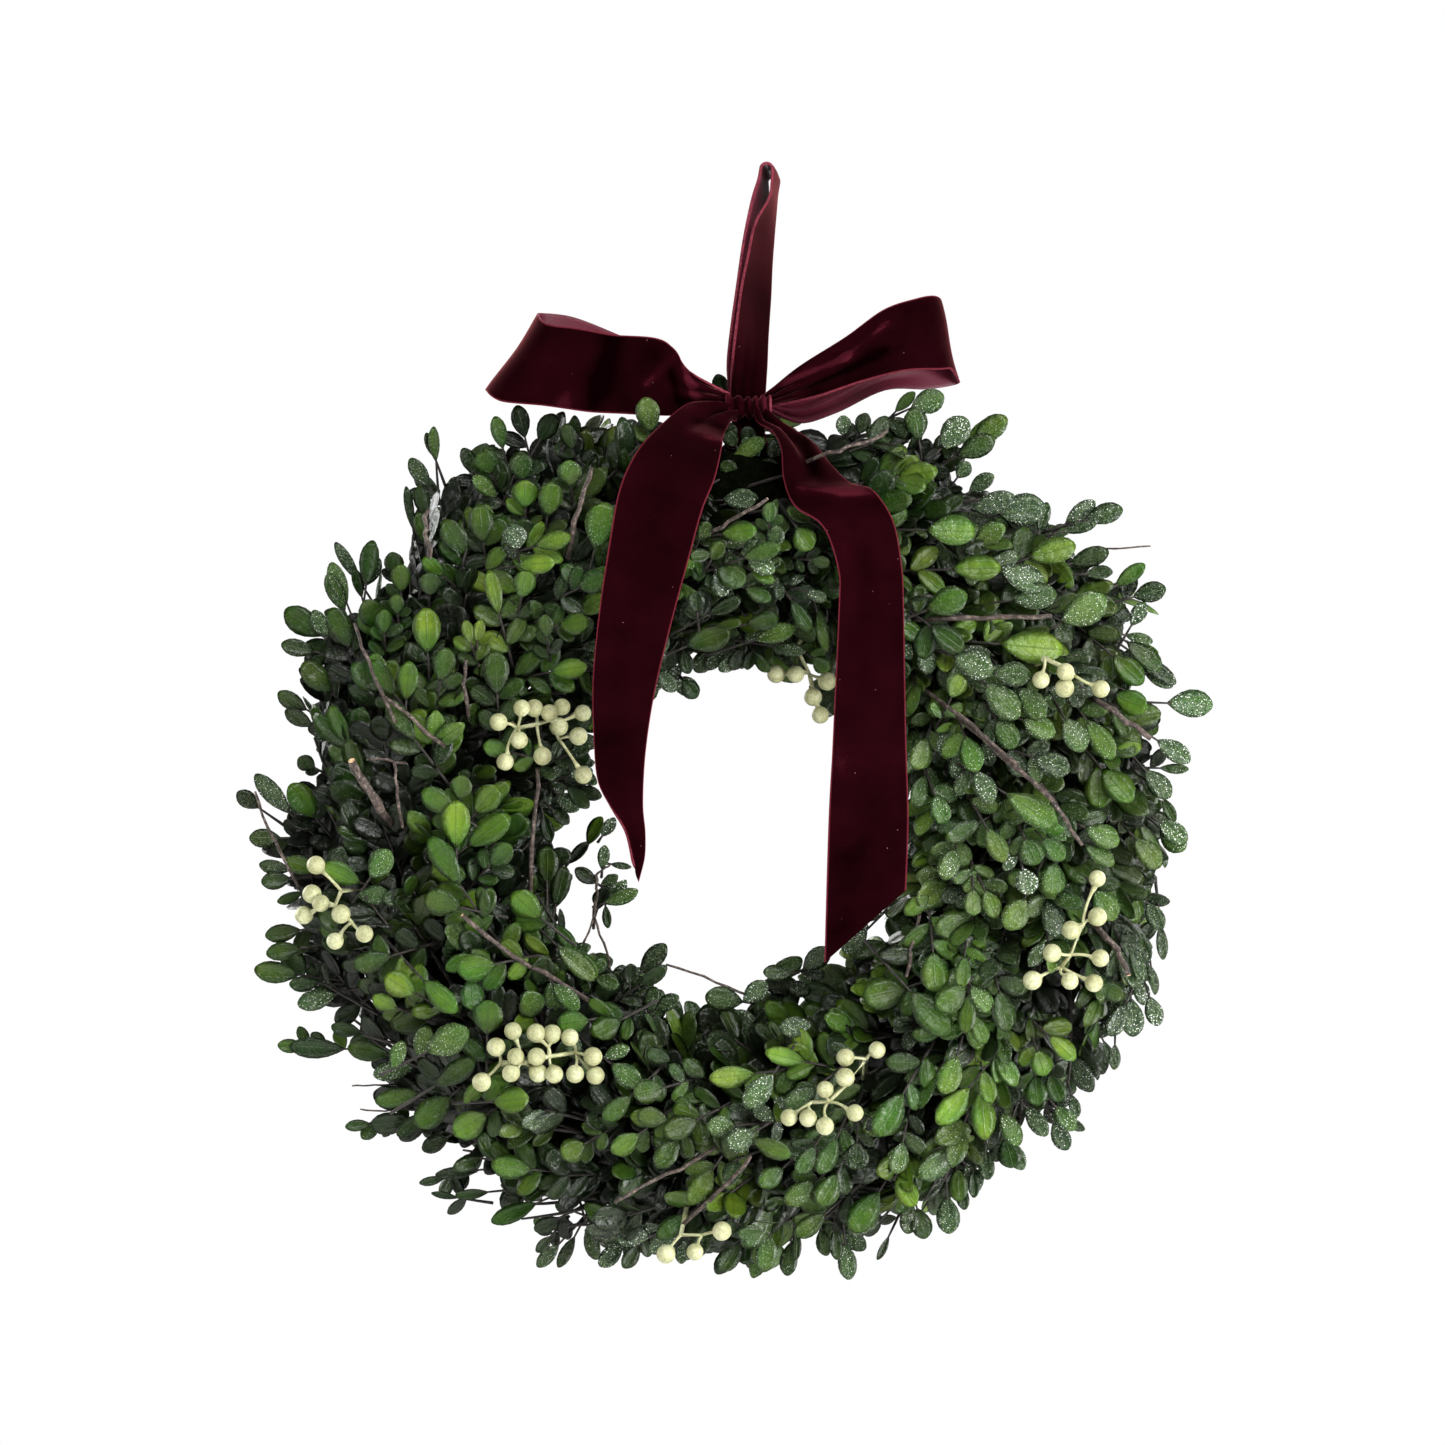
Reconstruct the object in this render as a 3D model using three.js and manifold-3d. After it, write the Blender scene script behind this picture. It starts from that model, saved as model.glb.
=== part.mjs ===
// A mistletoe wreath: twelve bunches of small-leaved evergreen twigs bound on a vine ring, with
// mistletoe berry sprays, hung by a velvet ribbon loop that is tied off in a bow.
// Millimetres, +Z up, seen from -Y. The origin is where the hook carries the ribbon loop.
import * as THREE from "three";
import Module from "manifold-3d";

const wasm = await Module();
wasm.setup();

// Driving dimensions
const CENTRE = new THREE.Vector3(-22.5, 0, -332.5); // middle of the wreath, below the hook
const HOLE_RADIUS = 85;
// How far the leaf tips of each bunch reach from the middle, clockwise from the top bunch.
const BUNCH_REACH = [222, 240, 249, 230, 233, 222, 219, 230, 225, 238, 240, 246];
const FRONT_REACH = 72; // from the heart of the foliage to its front
const BACK_FACE_Y = 26; // the flatter back, towards the wall
const FIT_GAP = 0.3; // between pieces that touch

const HEART_RADIUS = 157; // the circle that the foliage fans out from
const HEART_Y = -10;
const CORE_HALF_WIDTH = 37;
const CORE_HALF_DEPTH = 29;
const CORE_GAP_ANGLE = 0.0017; // half the slit between neighbouring bunches' cores, in radians

const RING_RADIUS = 152;
const RING_Y = 14;
const RING_TUBE = 9; // outside of the three twisted vines
const VINE_TWISTS = 4; // turns of the three vines round each other, all round the ring
const VINE_GROOVE = 0.74; // radius at the grooves between the vines, as a share of the tube's
const WIRE_RADIUS = 0.6;
const WIRE_TURNS = 12;
// From the ring's middle to the middle of the wire wound round it.
const WIRE_WINDING = RING_TUBE + FIT_GAP + WIRE_RADIUS + 0.5;

const LEAF_LENGTH = [31, 38]; // shortest and longest, half as large again as life, to cover
const LEAF_WIDTH_SHARE = 0.58;
const LEAF_THICKNESS = 1.1;
const LEAF_CUP = 1.6;
// Half outline of a leaf: share of its length, share of its half width.
const LEAF_OUTLINE = [
  [0, 0],
  [0.34, 0.62],
  [0.72, 1],
  [0.95, 0.52],
];
const TWIG_ROOT_RADIUS = 1.7;
const TWIG_TIP_RADIUS = 1.1;
const TWIG_SUNK = 5; // how deep a twig stands in its bunch
const TWIG_SWEEP = [0.26, 0.36]; // clockwise lean, at the sides and on the front, in radians
const TWIG_OUTWARD_LEAN = 18; // degrees, of the twigs on the front
// Where the twigs of one bunch stand: bearing, share of the bunch's width, and tip distance as a
// share of the foliage's depth there.
const TWIG_PLACES = [
  [-46, 0.55, 0.95],
  [2, 0.78, 1],
  [22, 0.28, 0.98],
  [44, 0.8, 0.95],
  [62, 0.22, 0.95],
  [84, 0.66, 1],
  [104, 0.16, 0.98],
  [126, 0.6, 0.98],
  [156, 0.3, 0.98],
  [188, 0.8, 0.95],
];
const STRAY_SPRIG = { bunch: 8, angle: 207, reach: 97 }; // leans far into the hole, lower left

const BERRY_RADIUS = 4.75;
const STALK_RADIUS = 1.1;
const SPRAY_ROOT = 56; // length of a spray's stem, down into a hole in the core
// The berry sprays: angle (degrees) and radius place the middle of each on the front of the
// foliage, and lean (degrees) is the way it runs across the front.
const SPRAYS = [
  { name: "berry_spray_upper_left", angle: 150, radius: 100, lean: 100, berries: 7 },
  { name: "berry_spray_hole_top", angle: 63, radius: 81, lean: -40, berries: 3 },
  { name: "berry_spray_upper_right", angle: 25, radius: 178, lean: -12, berries: 3 },
  { name: "berry_spray_left", angle: 188.5, radius: 193, lean: 108, berries: 4 },
  { name: "berry_spray_right", angle: -16.5, radius: 176, lean: 75, berries: 5 },
  { name: "berry_spray_lower_left", angle: 229, radius: 135, lean: 176, berries: 8 },
  { name: "berry_spray_lower_right", angle: -66.5, radius: 130, lean: 40, berries: 5 },
  { name: "berry_spray_bottom", angle: 265, radius: 193, lean: 18, berries: 3 },
];
const BERRY_PITCH = 5.4; // along the spray from one berry to the next
const BERRY_ROWS = [
  { across: 9.5, lift: 0 },
  { across: -9.5, lift: 1 },
  { across: 0.5, lift: 5 },
];

const RIBBON_WIDTH = 38;
const RIBBON_THICKNESS = 1.4;
const LOOP_GAP = 6; // clear width of the hanging loop at the hook
const RING_TOP_Z = CENTRE.z + RING_RADIUS;
const KNOT = { x: -11.5, y: -15.5, z: -120.5, width: 23, depth: 21, height: 15 };
const STRAND_GAP = 2.2; // between the middles of the two strands inside the knot
const GATHERED_WIDTH = 16;
const STRAND_Y = -11; // middle of the two strands inside the knot
const RING_CLEAR = 12.7; // from the ring's middle to the ribbon that goes round it and its wire
const RING_DROP = 3.5; // the ring falls away by this much across the ribbon's width
const KNOT_TAPER = 0.16; // the knot is this much narrower at its two ends
const KNOT_PLEAT = 0.93; // radius in the folds between its pleats
// The bow's ribbons: left edge x and z, right edge x and z, and depth y, station by station.
const LEFT_TAIL = [
  [-22.5, -121.5, -17, -126.5, -22.5],
  [-30, -121, -23.5, -129, -30],
  [-40, -124, -25, -135, -42],
  [-54, -134, -25, -146, -60],
  [-65, -148, -28, -161, -76],
  [-73, -167, -34, -177, -86],
  [-78, -195, -41, -203, -90],
  [-82, -223, -48, -229, -92],
  [-85, -256, -55, -261, -92],
  [-85, -287, -60, -289, -92],
  [-82, -308, -64, -349, -92],
];
const RIGHT_TAIL = [
  [-8, -123, -0.5, -124, -22.5],
  [-7, -129.5, 8, -131.5, -27],
  [0, -135, 19, -140, -42],
  [4, -145, 27, -152, -58],
  [5, -161, 36, -162, -70],
  [10, -174, 47, -167, -80],
  [23, -184, 56, -181, -86],
  [30, -204, 60, -202, -88],
  [31, -223, 61, -223, -90],
  [28, -285, 62, -285, -91],
  [26, -322, 63, -322, -91],
  [25, -389, 62, -355, -91],
];
const LEFT_LOOP = [
  [-20.5, -114, -21, -120, -18.5],
  [-42, -105, -48, -126, -32],
  [-57, -92, -66, -126, -38],
  [-77, -88, -89, -125, -40],
  [-96, -85, -111, -121, -38],
  [-111, -78, -133, -116, -30],
  [-114, -75, -139, -112, -18],
  [-113, -73, -137, -110, -6],
  [-98, -74, -116, -111, 2],
  [-77, -81, -91, -115, 4],
  [-53, -96, -60, -118, 0],
  [-21.5, -115, -21.5, -121, -10],
];
const RIGHT_LOOP = [
  [-2.5, -114, -2.5, -120.5, -18.5],
  [14, -103, 21, -118, -32],
  [36, -90, 44, -111, -38],
  [54, -77, 65, -106, -40],
  [70, -71, 82, -105, -36],
  [79, -68, 88, -104, -28],
  [84, -68, 92, -107, -16],
  [83, -69, 92, -108, -4],
  [67, -75, 77, -111, 3],
  [46, -87, 55, -111, 4],
  [23, -104, 30, -123, 0],
  [-1.5, -115, -1.5, -121, -10],
];
const BOW_ROUTES = {
  bow_loop_left: LEFT_LOOP,
  bow_loop_right: RIGHT_LOOP,
  bow_tail_left: LEFT_TAIL,
  bow_tail_right: RIGHT_TAIL,
};

const COLOURS = {
  leaf: 0x3f6a35,
  vine: 0x4a3626,
  wire: 0x8a8f8c,
  berry: 0xe8e4b8,
  ribbon: 0x3a0a14,
};

// Small helpers for solids

function seededRandom(seed) {
  let state = seed >>> 0;
  return () => {
    state = (state + 0x6d2b79f5) >>> 0;
    let t = state;
    t = Math.imul(t ^ (t >>> 15), t | 1);
    t ^= t + Math.imul(t ^ (t >>> 7), t | 61);
    return ((t ^ (t >>> 14)) >>> 0) / 4294967296;
  };
}

const v3 = (x, y, z) => new THREE.Vector3(x, y, z);
const radians = THREE.MathUtils.degToRad;
const mix = THREE.MathUtils.lerp;

// A closed solid from its points and triangles, turned to face outwards.
function solidFrom(points, faces) {
  const vertProperties = new Float32Array(points.flatMap((p) => [p.x, p.y, p.z]));
  const build = (list) =>
    new wasm.Manifold(
      new wasm.Mesh({ numProp: 3, vertProperties, triVerts: new Uint32Array(list.flat()) }),
    );
  const solid = build(faces);
  return solid.volume() >= 0 ? solid : build(faces.map(([a, b, c]) => [a, c, b]));
}

// Skins a row of rings of points. An open row gets flat ends, cut into triangles by their outline.
function loft(rings, closed = false) {
  const n = rings[0].length;
  const faces = [];
  const rows = closed ? rings.length : rings.length - 1;
  for (let i = 0; i < rows; i += 1) {
    const a = i * n;
    const b = ((i + 1) % rings.length) * n;
    for (let j = 0; j < n; j += 1) {
      const k = (j + 1) % n;
      faces.push([a + j, a + k, b + k], [a + j, b + k, b + j]);
    }
  }
  if (!closed) {
    const last = (rings.length - 1) * n;
    for (const [p, q, r] of capTriangles(rings[0])) faces.push([p, r, q]);
    for (const [p, q, r] of capTriangles(rings[rings.length - 1])) {
      faces.push([last + p, last + q, last + r]);
    }
  }
  return solidFrom(rings.flat(), faces);
}

// Triangles of a flat ring, wound as the ring runs.
function capTriangles(ring) {
  if (ring.length === 3) return [[0, 1, 2]];
  if (ring.length === 4) return [[0, 1, 2], [0, 2, 3]];
  const across = ring[1].clone().sub(ring[0]).normalize();
  const normal = v3(0, 0, 0);
  ring.forEach((p, i) => normal.add(p.clone().cross(ring[(i + 1) % ring.length])));
  const up = normal.normalize().cross(across);
  const flat = ring.map((p) => new THREE.Vector2(p.dot(across), p.dot(up)));
  return THREE.ShapeUtils.triangulateShape(flat, []);
}

// A tube with few sides along a list of points, with a radius for each.
function tube(points, radii, sides, closed = false) {
  const count = points.length;
  const rings = points.map((p, i) => {
    const before = closed ? points[(i + count - 1) % count] : points[Math.max(i - 1, 0)];
    const after = closed ? points[(i + 1) % count] : points[Math.min(i + 1, count - 1)];
    const along = after.clone().sub(before).normalize();
    const ahead = Math.abs(along.y) > 0.9 ? v3(1, 0, 0) : v3(0, 1, 0);
    const side = ahead.cross(along).normalize();
    const up = along.clone().cross(side);
    return Array.from({ length: sides }, (_, j) => {
      const turn = (2 * Math.PI * j) / sides;
      return p
        .clone()
        .addScaledVector(side, radii[i] * Math.cos(turn))
        .addScaledVector(up, radii[i] * Math.sin(turn));
    });
  });
  return loft(rings, closed);
}

// A flat band from its left and right edges, the same thickness all along.
function band(lefts, rights, grow = 0, closed = false) {
  const count = lefts.length;
  const middle = lefts.map((p, i) => p.clone().add(rights[i]).multiplyScalar(0.5));
  const rings = middle.map((m, i) => {
    const before = closed ? middle[(i + count - 1) % count] : middle[Math.max(i - 1, 0)];
    const after = closed ? middle[(i + 1) % count] : middle[Math.min(i + 1, count - 1)];
    const along = after.clone().sub(before);
    const across = rights[i].clone().sub(lefts[i]);
    const normal = along.cross(across).normalize().multiplyScalar(RIBBON_THICKNESS / 2 + grow);
    const extra = across.normalize().multiplyScalar(grow);
    const left = lefts[i].clone().sub(extra);
    const right = rights[i].clone().add(extra);
    return [
      left.clone().add(normal),
      right.clone().add(normal),
      right.clone().sub(normal),
      left.clone().sub(normal),
    ];
  });
  return loft(rings, closed);
}

// The middle surface of a ring-shaped piece: a distance and an angle round the wreath, and a depth.
function onWreath(radius, angle, y) {
  return v3(CENTRE.x + radius * Math.cos(angle), y, CENTRE.z + radius * Math.sin(angle));
}

// The base ring: three vines twisted together, as one ring with a three-lobed section.

function vineRing() {
  const stations = 36;
  const lobes = 3;
  const rings = Array.from({ length: stations }, (_, i) => {
    const angle = (2 * Math.PI * i) / stations;
    return Array.from({ length: lobes * 3 }, (_unused, j) => {
      const turn = (2 * Math.PI * j) / (lobes * 3) + angle * VINE_TWISTS;
      const reach = RING_TUBE * (j % 3 === 0 ? VINE_GROOVE : 1);
      return onWreath(RING_RADIUS + reach * Math.cos(turn), angle, RING_Y + reach * Math.sin(turn));
    });
  });
  return loft(rings, true);
}

// The binding wire, wound round the ring.

function bindingWire() {
  const perTurn = 10;
  const stations = WIRE_TURNS * perTurn;
  const points = Array.from({ length: stations }, (_, i) => {
    const angle = (2 * Math.PI * i) / stations;
    const turn = (2 * Math.PI * i) / perTurn;
    return onWreath(
      RING_RADIUS + WIRE_WINDING * Math.cos(turn),
      angle,
      RING_Y + WIRE_WINDING * Math.sin(turn),
    );
  });
  return tube(points, points.map(() => WIRE_RADIUS), 3, true);
}

// A loop or tail of the bow, along its stations.
function routedBand(route, grow = 0) {
  const lefts = route.map(([x, z, , , y]) => v3(x, y, z));
  const rights = route.map(([, , x, z, y]) => v3(x, y, z));
  return band(lefts, rights, grow);
}

// The hanging ribbon: one closed band, up behind the ring, over the hook and down in front of the
// ring. Both strands pass through the knot, where they are gathered, and turn edge-on above it.

function hangingBand(grow = 0) {
  // Each station: middle x, y, z, width, and how far the width is turned towards the depth.
  const half = LOOP_GAP / 2 + RIBBON_THICKNESS / 2;
  const back = STRAND_Y + STRAND_GAP / 2;
  const front = STRAND_Y - STRAND_GAP / 2;
  const up = [
    [KNOT.x, RING_Y + RING_CLEAR, RING_TOP_Z, RIBBON_WIDTH, 0],
    [KNOT.x, RING_Y + RING_CLEAR - 2, RING_TOP_Z + 14, 34, 0],
    [KNOT.x, back + 8, KNOT.z - 24, 22, 0],
    [KNOT.x, back, KNOT.z - 9, GATHERED_WIDTH, 0],
    [KNOT.x, back, KNOT.z + 9, GATHERED_WIDTH, 0],
    [KNOT.x - 1, back + 3, KNOT.z + 22, 28, 28],
    [KNOT.x, back + 6, KNOT.z + 46, RIBBON_WIDTH, 56],
    [-6.5, 2, -38, RIBBON_WIDTH, 72],
    [-half, 0, -18, RIBBON_WIDTH, 90],
    [-half, 0, -4, RIBBON_WIDTH, 90],
  ];
  const over = [150, 120, 90, 60, 30].map((degrees) => [
    half * Math.cos(radians(degrees)),
    0,
    half * Math.sin(radians(degrees)) - half + RIBBON_THICKNESS / 2,
    RIBBON_WIDTH,
    90,
  ]);
  const down = [
    [half, 0, -4, RIBBON_WIDTH, 90],
    [half, 0, -18, RIBBON_WIDTH, 90],
    [1, -3, -38, RIBBON_WIDTH, 78],
    [-7.5, front - 3, KNOT.z + 50, RIBBON_WIDTH, 66],
    [KNOT.x + 1, front - 2, KNOT.z + 24, 30, 40],
    [KNOT.x, front, KNOT.z + 9, GATHERED_WIDTH, 0],
    [KNOT.x, front, KNOT.z - 9, GATHERED_WIDTH, 0],
    [KNOT.x, front + 2, KNOT.z - 24, 22, 0],
    [KNOT.x, RING_Y - RING_CLEAR, RING_TOP_Z + 14, 34, 0],
    [KNOT.x, RING_Y - RING_CLEAR, RING_TOP_Z, RIBBON_WIDTH, 0],
  ];
  const under = [216, 252, 288, 324].map((degrees) => [
    KNOT.x,
    RING_Y + RING_CLEAR * Math.cos(radians(degrees)),
    RING_TOP_Z - RING_DROP + RING_CLEAR * Math.sin(radians(degrees)),
    RIBBON_WIDTH,
    0,
  ]);
  const stations = [...up, ...over, ...down, ...under];
  const edge = (side) =>
    stations.map(([x, y, z, width, turn]) =>
      v3(
        x + (side * width * Math.cos(radians(turn))) / 2,
        y + (side * width * Math.sin(radians(turn))) / 2,
        z,
      ),
    );
  return band(edge(-1), edge(1), grow, true);
}

// The knot: a pleated wrap round both strands, with the roots of the loops and tails let into it.

function bowKnot() {
  const levels = [-1, -0.5, 0, 0.5, 1];
  const sides = 12;
  const rings = levels.map((level) => {
    const bulge = 1 - KNOT_TAPER * level * level;
    return Array.from({ length: sides }, (_, j) => {
      const turn = (2 * Math.PI * (j + 0.5)) / sides;
      const pleat = j % 2 === 0 ? 1 : KNOT_PLEAT;
      const squared = (value) => Math.sign(value) * Math.abs(value) ** 0.6;
      return v3(
        KNOT.x + (KNOT.width / 2) * bulge * pleat * squared(Math.cos(turn)),
        KNOT.y + (KNOT.depth / 2) * bulge * pleat * squared(Math.sin(turn)),
        KNOT.z + (KNOT.height / 2) * level,
      );
    });
  });
  const slotHalf = GATHERED_WIDTH / 2 + FIT_GAP + 0.2;
  const slotDeep = STRAND_GAP / 2 + RIBBON_THICKNESS / 2 + FIT_GAP;
  const slot = new THREE.BoxGeometry(2 * slotHalf, 2 * slotDeep, 2 * KNOT.height);
  slot.translate(KNOT.x, STRAND_Y, KNOT.z);
  let knot = loft(rings).subtract(fromGeometry(slot));
  for (const route of Object.values(BOW_ROUTES)) {
    knot = knot.subtract(routedBand(route, FIT_GAP));
  }
  return knot;
}

// A three.js geometry as a solid, with its equal corners joined.
function fromGeometry(geometry) {
  const corners = [];
  const index = new Map();
  const flat = geometry.index ? geometry.toNonIndexed() : geometry;
  const position = flat.getAttribute("position");
  const faces = [];
  for (let i = 0; i < position.count; i += 3) {
    faces.push([i, i + 1, i + 2].map((k) => {
      const p = new THREE.Vector3().fromBufferAttribute(position, k);
      const key = p.toArray().map((n) => n.toFixed(4)).join();
      if (!index.has(key)) index.set(key, corners.push(p) - 1);
      return index.get(key);
    }));
  }
  return solidFrom(corners, faces);
}

// Berry sprays: each is a stem from the foliage's core with short stalks, a ball on each.

function frontSurfaceY(radius, reach) {
  const offset = THREE.MathUtils.clamp(Math.abs(radius - HEART_RADIUS) / reach, 0, 0.96);
  return HEART_Y - reach * Math.sqrt(1 - offset * offset);
}

// A berry with its stalk: a thin tube that swells into a five-sided ball.
function stalkedBerry(from, middle, grow) {
  const along = middle.clone().sub(from).normalize();
  const radius = BERRY_RADIUS + grow;
  const at = (distance) => middle.clone().addScaledVector(along, distance);
  const points = [from, at(-radius), at(-0.55 * radius), at(0.45 * radius), at(radius)];
  const stalk = STALK_RADIUS + grow;
  return tube(points, [0.6 * stalk, stalk, 0.9 * radius, 0.95 * radius, 0.35 * radius], 5);
}

function berrySpray(spray, grow = 0) {
  const angle = radians(spray.angle);
  const lean = radians(spray.lean);
  const along = v3(Math.cos(lean), 0, Math.sin(lean));
  const across = v3(-Math.sin(lean), 0, Math.cos(lean));
  const depth = frontSurfaceY(spray.radius, FRONT_REACH + 6);
  const middle = onWreath(spray.radius, angle, depth);
  const heart = onWreath(HEART_RADIUS, angle, HEART_Y);
  const inward = heart.clone().sub(middle).normalize();
  const solids = [];
  const spine = [];
  for (let i = 0; i < spray.berries; i += 1) {
    const row = BERRY_ROWS[i % BERRY_ROWS.length];
    const step = (i - (spray.berries - 1) / 2) * BERRY_PITCH;
    const berry = middle
      .clone()
      .addScaledVector(along, step)
      .addScaledVector(across, row.across)
      .addScaledVector(inward, -row.lift);
    const node = middle
      .clone()
      .addScaledVector(along, step - 5)
      .addScaledVector(inward, 5);
    spine.push(node);
    solids.push(stalkedBerry(node, berry, grow));
  }
  const stemRadius = STALK_RADIUS * 1.5 + grow;
  const ends = [spine[0], spine[spine.length - 1]];
  ends[1] = ends[1].clone().addScaledVector(along, 2);
  ends[0] = ends[0].clone().addScaledVector(along, -2);
  solids.push(tube(ends, [stemRadius, stemRadius * 0.8], 4));
  const root = middle.clone().addScaledVector(inward, SPRAY_ROOT + grow);
  const start = middle.clone().addScaledVector(inward, 4);
  solids.push(tube([root, start], [stemRadius, stemRadius], 4));
  return wasm.Manifold.union(solids);
}

// Foliage. A place in it is a turn round the ring, a bearing round the heart circle (0 outwards,
// 90 to the front, 180 to the hole) and a distance from that circle.

function bearingDirection(angle, bearing) {
  const out = v3(Math.cos(angle), 0, Math.sin(angle));
  return out.multiplyScalar(Math.cos(bearing)).add(v3(0, -Math.sin(bearing), 0));
}

function coreReach(bearing) {
  const a = Math.cos(bearing) / CORE_HALF_WIDTH;
  const b = Math.sin(bearing) / CORE_HALF_DEPTH;
  return 1 / Math.sqrt(a * a + b * b);
}

// The wedge of packed stems and inner leaves that the twigs stand in. Its back is open in a
// channel, where it sits on the wire-bound ring.
function bunchCore(from, to, grow = 0) {
  const wall = WIRE_WINDING + WIRE_RADIUS + 1.6 - grow; // half width of the channel
  const roof = RING_Y - (WIRE_WINDING + WIRE_RADIUS + FIT_GAP) + grow;
  const backY = BACK_FACE_Y - 6;
  const outline = [];
  for (const degrees of [-38, -8, 26, 58, 90, 122, 154, 188, 218]) {
    const bearing = radians(degrees);
    const reach = coreReach(bearing) + grow;
    const y = Math.min(HEART_Y - reach * Math.sin(bearing), backY);
    outline.push([HEART_RADIUS + reach * Math.cos(bearing), y]);
  }
  outline.push([RING_RADIUS - wall, backY], [RING_RADIUS - wall, roof]);
  outline.push([RING_RADIUS + wall, roof], [RING_RADIUS + wall, backY]);
  const steps = 2;
  const rings = Array.from({ length: steps + 1 }, (_, i) => {
    const angle = mix(from, to, i / steps);
    return outline.map(([radius, y]) => onWreath(radius, angle, y));
  });
  return loft(rings);
}

// A leaf: a thin cupped blade, widest past its middle, split alike on its two faces.
function leafSolid(base, forward, normal, length, grow = 0) {
  const side = forward.clone().cross(normal).normalize();
  const up = side.clone().cross(forward).normalize();
  const full = length + 2 * grow;
  const halfWidth = (length * LEAF_WIDTH_SHARE) / 2 + grow;
  const place = (x, y, z) =>
    base
      .clone()
      .addScaledVector(forward, x - grow)
      .addScaledVector(side, y)
      .addScaledVector(up, z);
  const rim = [];
  LEAF_OUTLINE.forEach(([x, y]) => rim.push(place(x * full, y * halfWidth, y * LEAF_CUP)));
  LEAF_OUTLINE.slice(1)
    .reverse()
    .forEach(([x, y]) => rim.push(place(x * full, -y * halfWidth, y * LEAF_CUP)));
  const half = LEAF_THICKNESS / 2 + grow;
  const points = [...rim, place(0.55 * full, 0, half), place(0.55 * full, 0, -half)];
  const faces = [];
  for (let i = 0; i < rim.length; i += 1) {
    const j = (i + 1) % rim.length;
    faces.push([i, j, rim.length], [j, i, rim.length + 1]);
  }
  return solidFrom(points, faces);
}

// Distance from the heart circle to the foliage's surface at a bearing.
function foliageReach(bearing, outer) {
  const inner = HEART_RADIUS - HOLE_RADIUS;
  const wide = Math.cos(bearing) > 0 ? outer - HEART_RADIUS : inner;
  const deep = Math.sin(bearing) > 0 ? FRONT_REACH : BACK_FACE_Y - HEART_Y + 12;
  const a = Math.cos(bearing) / wide;
  const b = Math.sin(bearing) / deep;
  return 1 / Math.sqrt(a * a + b * b);
}

function boxesMeet(a, b) {
  return [0, 1, 2].every((k) => a.min[k] <= b.max[k] && b.min[k] <= a.max[k]);
}

// Everything placed so far, each with its owner, so that no new leaf crosses another node's piece.
const placed = [];

function claim(owner, solid) {
  placed.push({ owner, solid, box: solid.boundingBox() });
}

function isFree(owner, solid) {
  const box = solid.boundingBox();
  return !placed.some(
    (item) =>
      !owner.startsWith(item.owner) &&
      boxesMeet(item.box, box) &&
      item.solid.intersect(solid).volume() > 0,
  );
}

const bunchOwner = (index) => "bunch " + index + " ";

// Adds one twig with its leaves to the bunch's pieces, each kept clear of the other nodes.
function growTwig(owner, pieces, root, tip, facing, random) {
  const axis = tip.clone().sub(root);
  const span = axis.length();
  axis.normalize();
  const leafLength = mix(LEAF_LENGTH[0], LEAF_LENGTH[1], random());
  const stop = root.clone().addScaledVector(axis, Math.max(span - leafLength * 0.9, 8));
  const twig = (grow) =>
    tube([root, stop], [TWIG_ROOT_RADIUS + grow, TWIG_TIP_RADIUS + grow], 3);
  if (!isFree(owner, twig(0))) return false;
  const parts = [twig(0)];
  claim(owner, twig(FIT_GAP));
  const side = facing.clone().cross(axis).normalize();
  const tryLeaf = (base, forward, length) => {
    for (const scale of [1, 0.85]) {
      for (const roll of [0, 0.5, -0.5]) {
        const normal = facing.clone().addScaledVector(side, roll + (random() - 0.5) * 0.5);
        const leaf = leafSolid(base, forward, normal.normalize(), length * scale);
        if (!isFree(owner, leaf)) continue;
        parts.push(leaf);
        claim(owner, leafSolid(base, forward, normal, length * scale, FIT_GAP));
        return;
      }
    }
  };
  const onTwig = (share) => root.clone().lerp(stop, share);
  tryLeaf(onTwig(0.97), axis.clone(), leafLength);
  for (const turn of [1, -1]) {
    const spread = 0.75 + random() * 0.35;
    const forward = axis.clone().addScaledVector(side, turn * spread);
    forward.addScaledVector(facing, 0.12).normalize();
    tryLeaf(onTwig(0.68 + 0.08 * turn), forward, leafLength * mix(0.8, 0.95, random()));
  }
  pieces.push(...parts);
  return true;
}

function growBunch(index) {
  const owner = bunchOwner(index);
  const random = seededRandom(100 + index);
  const width = (2 * Math.PI) / BUNCH_REACH.length;
  const middle = Math.PI / 2 - index * width;
  const from = middle + width / 2;
  const pieces = [bunchCore(from - CORE_GAP_ANGLE, from - width + CORE_GAP_ANGLE)];
  TWIG_PLACES.forEach(([degrees, share, depthShare], place) => {
    const bearing = radians(degrees + (random() - 0.5) * 10);
    const angle = from - width * (share + (random() - 0.5) * 0.1);
    const coreRadius = coreReach(bearing);
    const reach = foliageReach(bearing, BUNCH_REACH[index]) * depthShare;
    const heart = onWreath(HEART_RADIUS, angle, HEART_Y);
    const root = heart
      .clone()
      .addScaledVector(bearingDirection(angle, bearing), coreRadius - TWIG_SUNK);
    // The twig leans clockwise as it leaves the core, most of all on the front.
    const frontShare = Math.abs(Math.sin(bearing));
    const sweep = mix(TWIG_SWEEP[0], TWIG_SWEEP[1], frontShare) * mix(0.9, 1.1, random());
    const tipAngle = angle - sweep;
    const outwards = radians(TWIG_OUTWARD_LEAN * Math.max(Math.sin(bearing), 0));
    const tip = onWreath(HEART_RADIUS, tipAngle, HEART_Y).addScaledVector(
      bearingDirection(tipAngle, bearing - outwards),
      reach,
    );
    tip.y = Math.min(tip.y, BACK_FACE_Y);
    const facing = bearingDirection(tipAngle, bearing).add(v3(0, -1.1, 0)).normalize();
    growTwig(owner + "twig" + place, pieces, root, tip, facing, random);
  });
  if (index === STRAY_SPRIG.bunch) growStraySprig(owner, pieces, random);
  return pieces;
}

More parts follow.
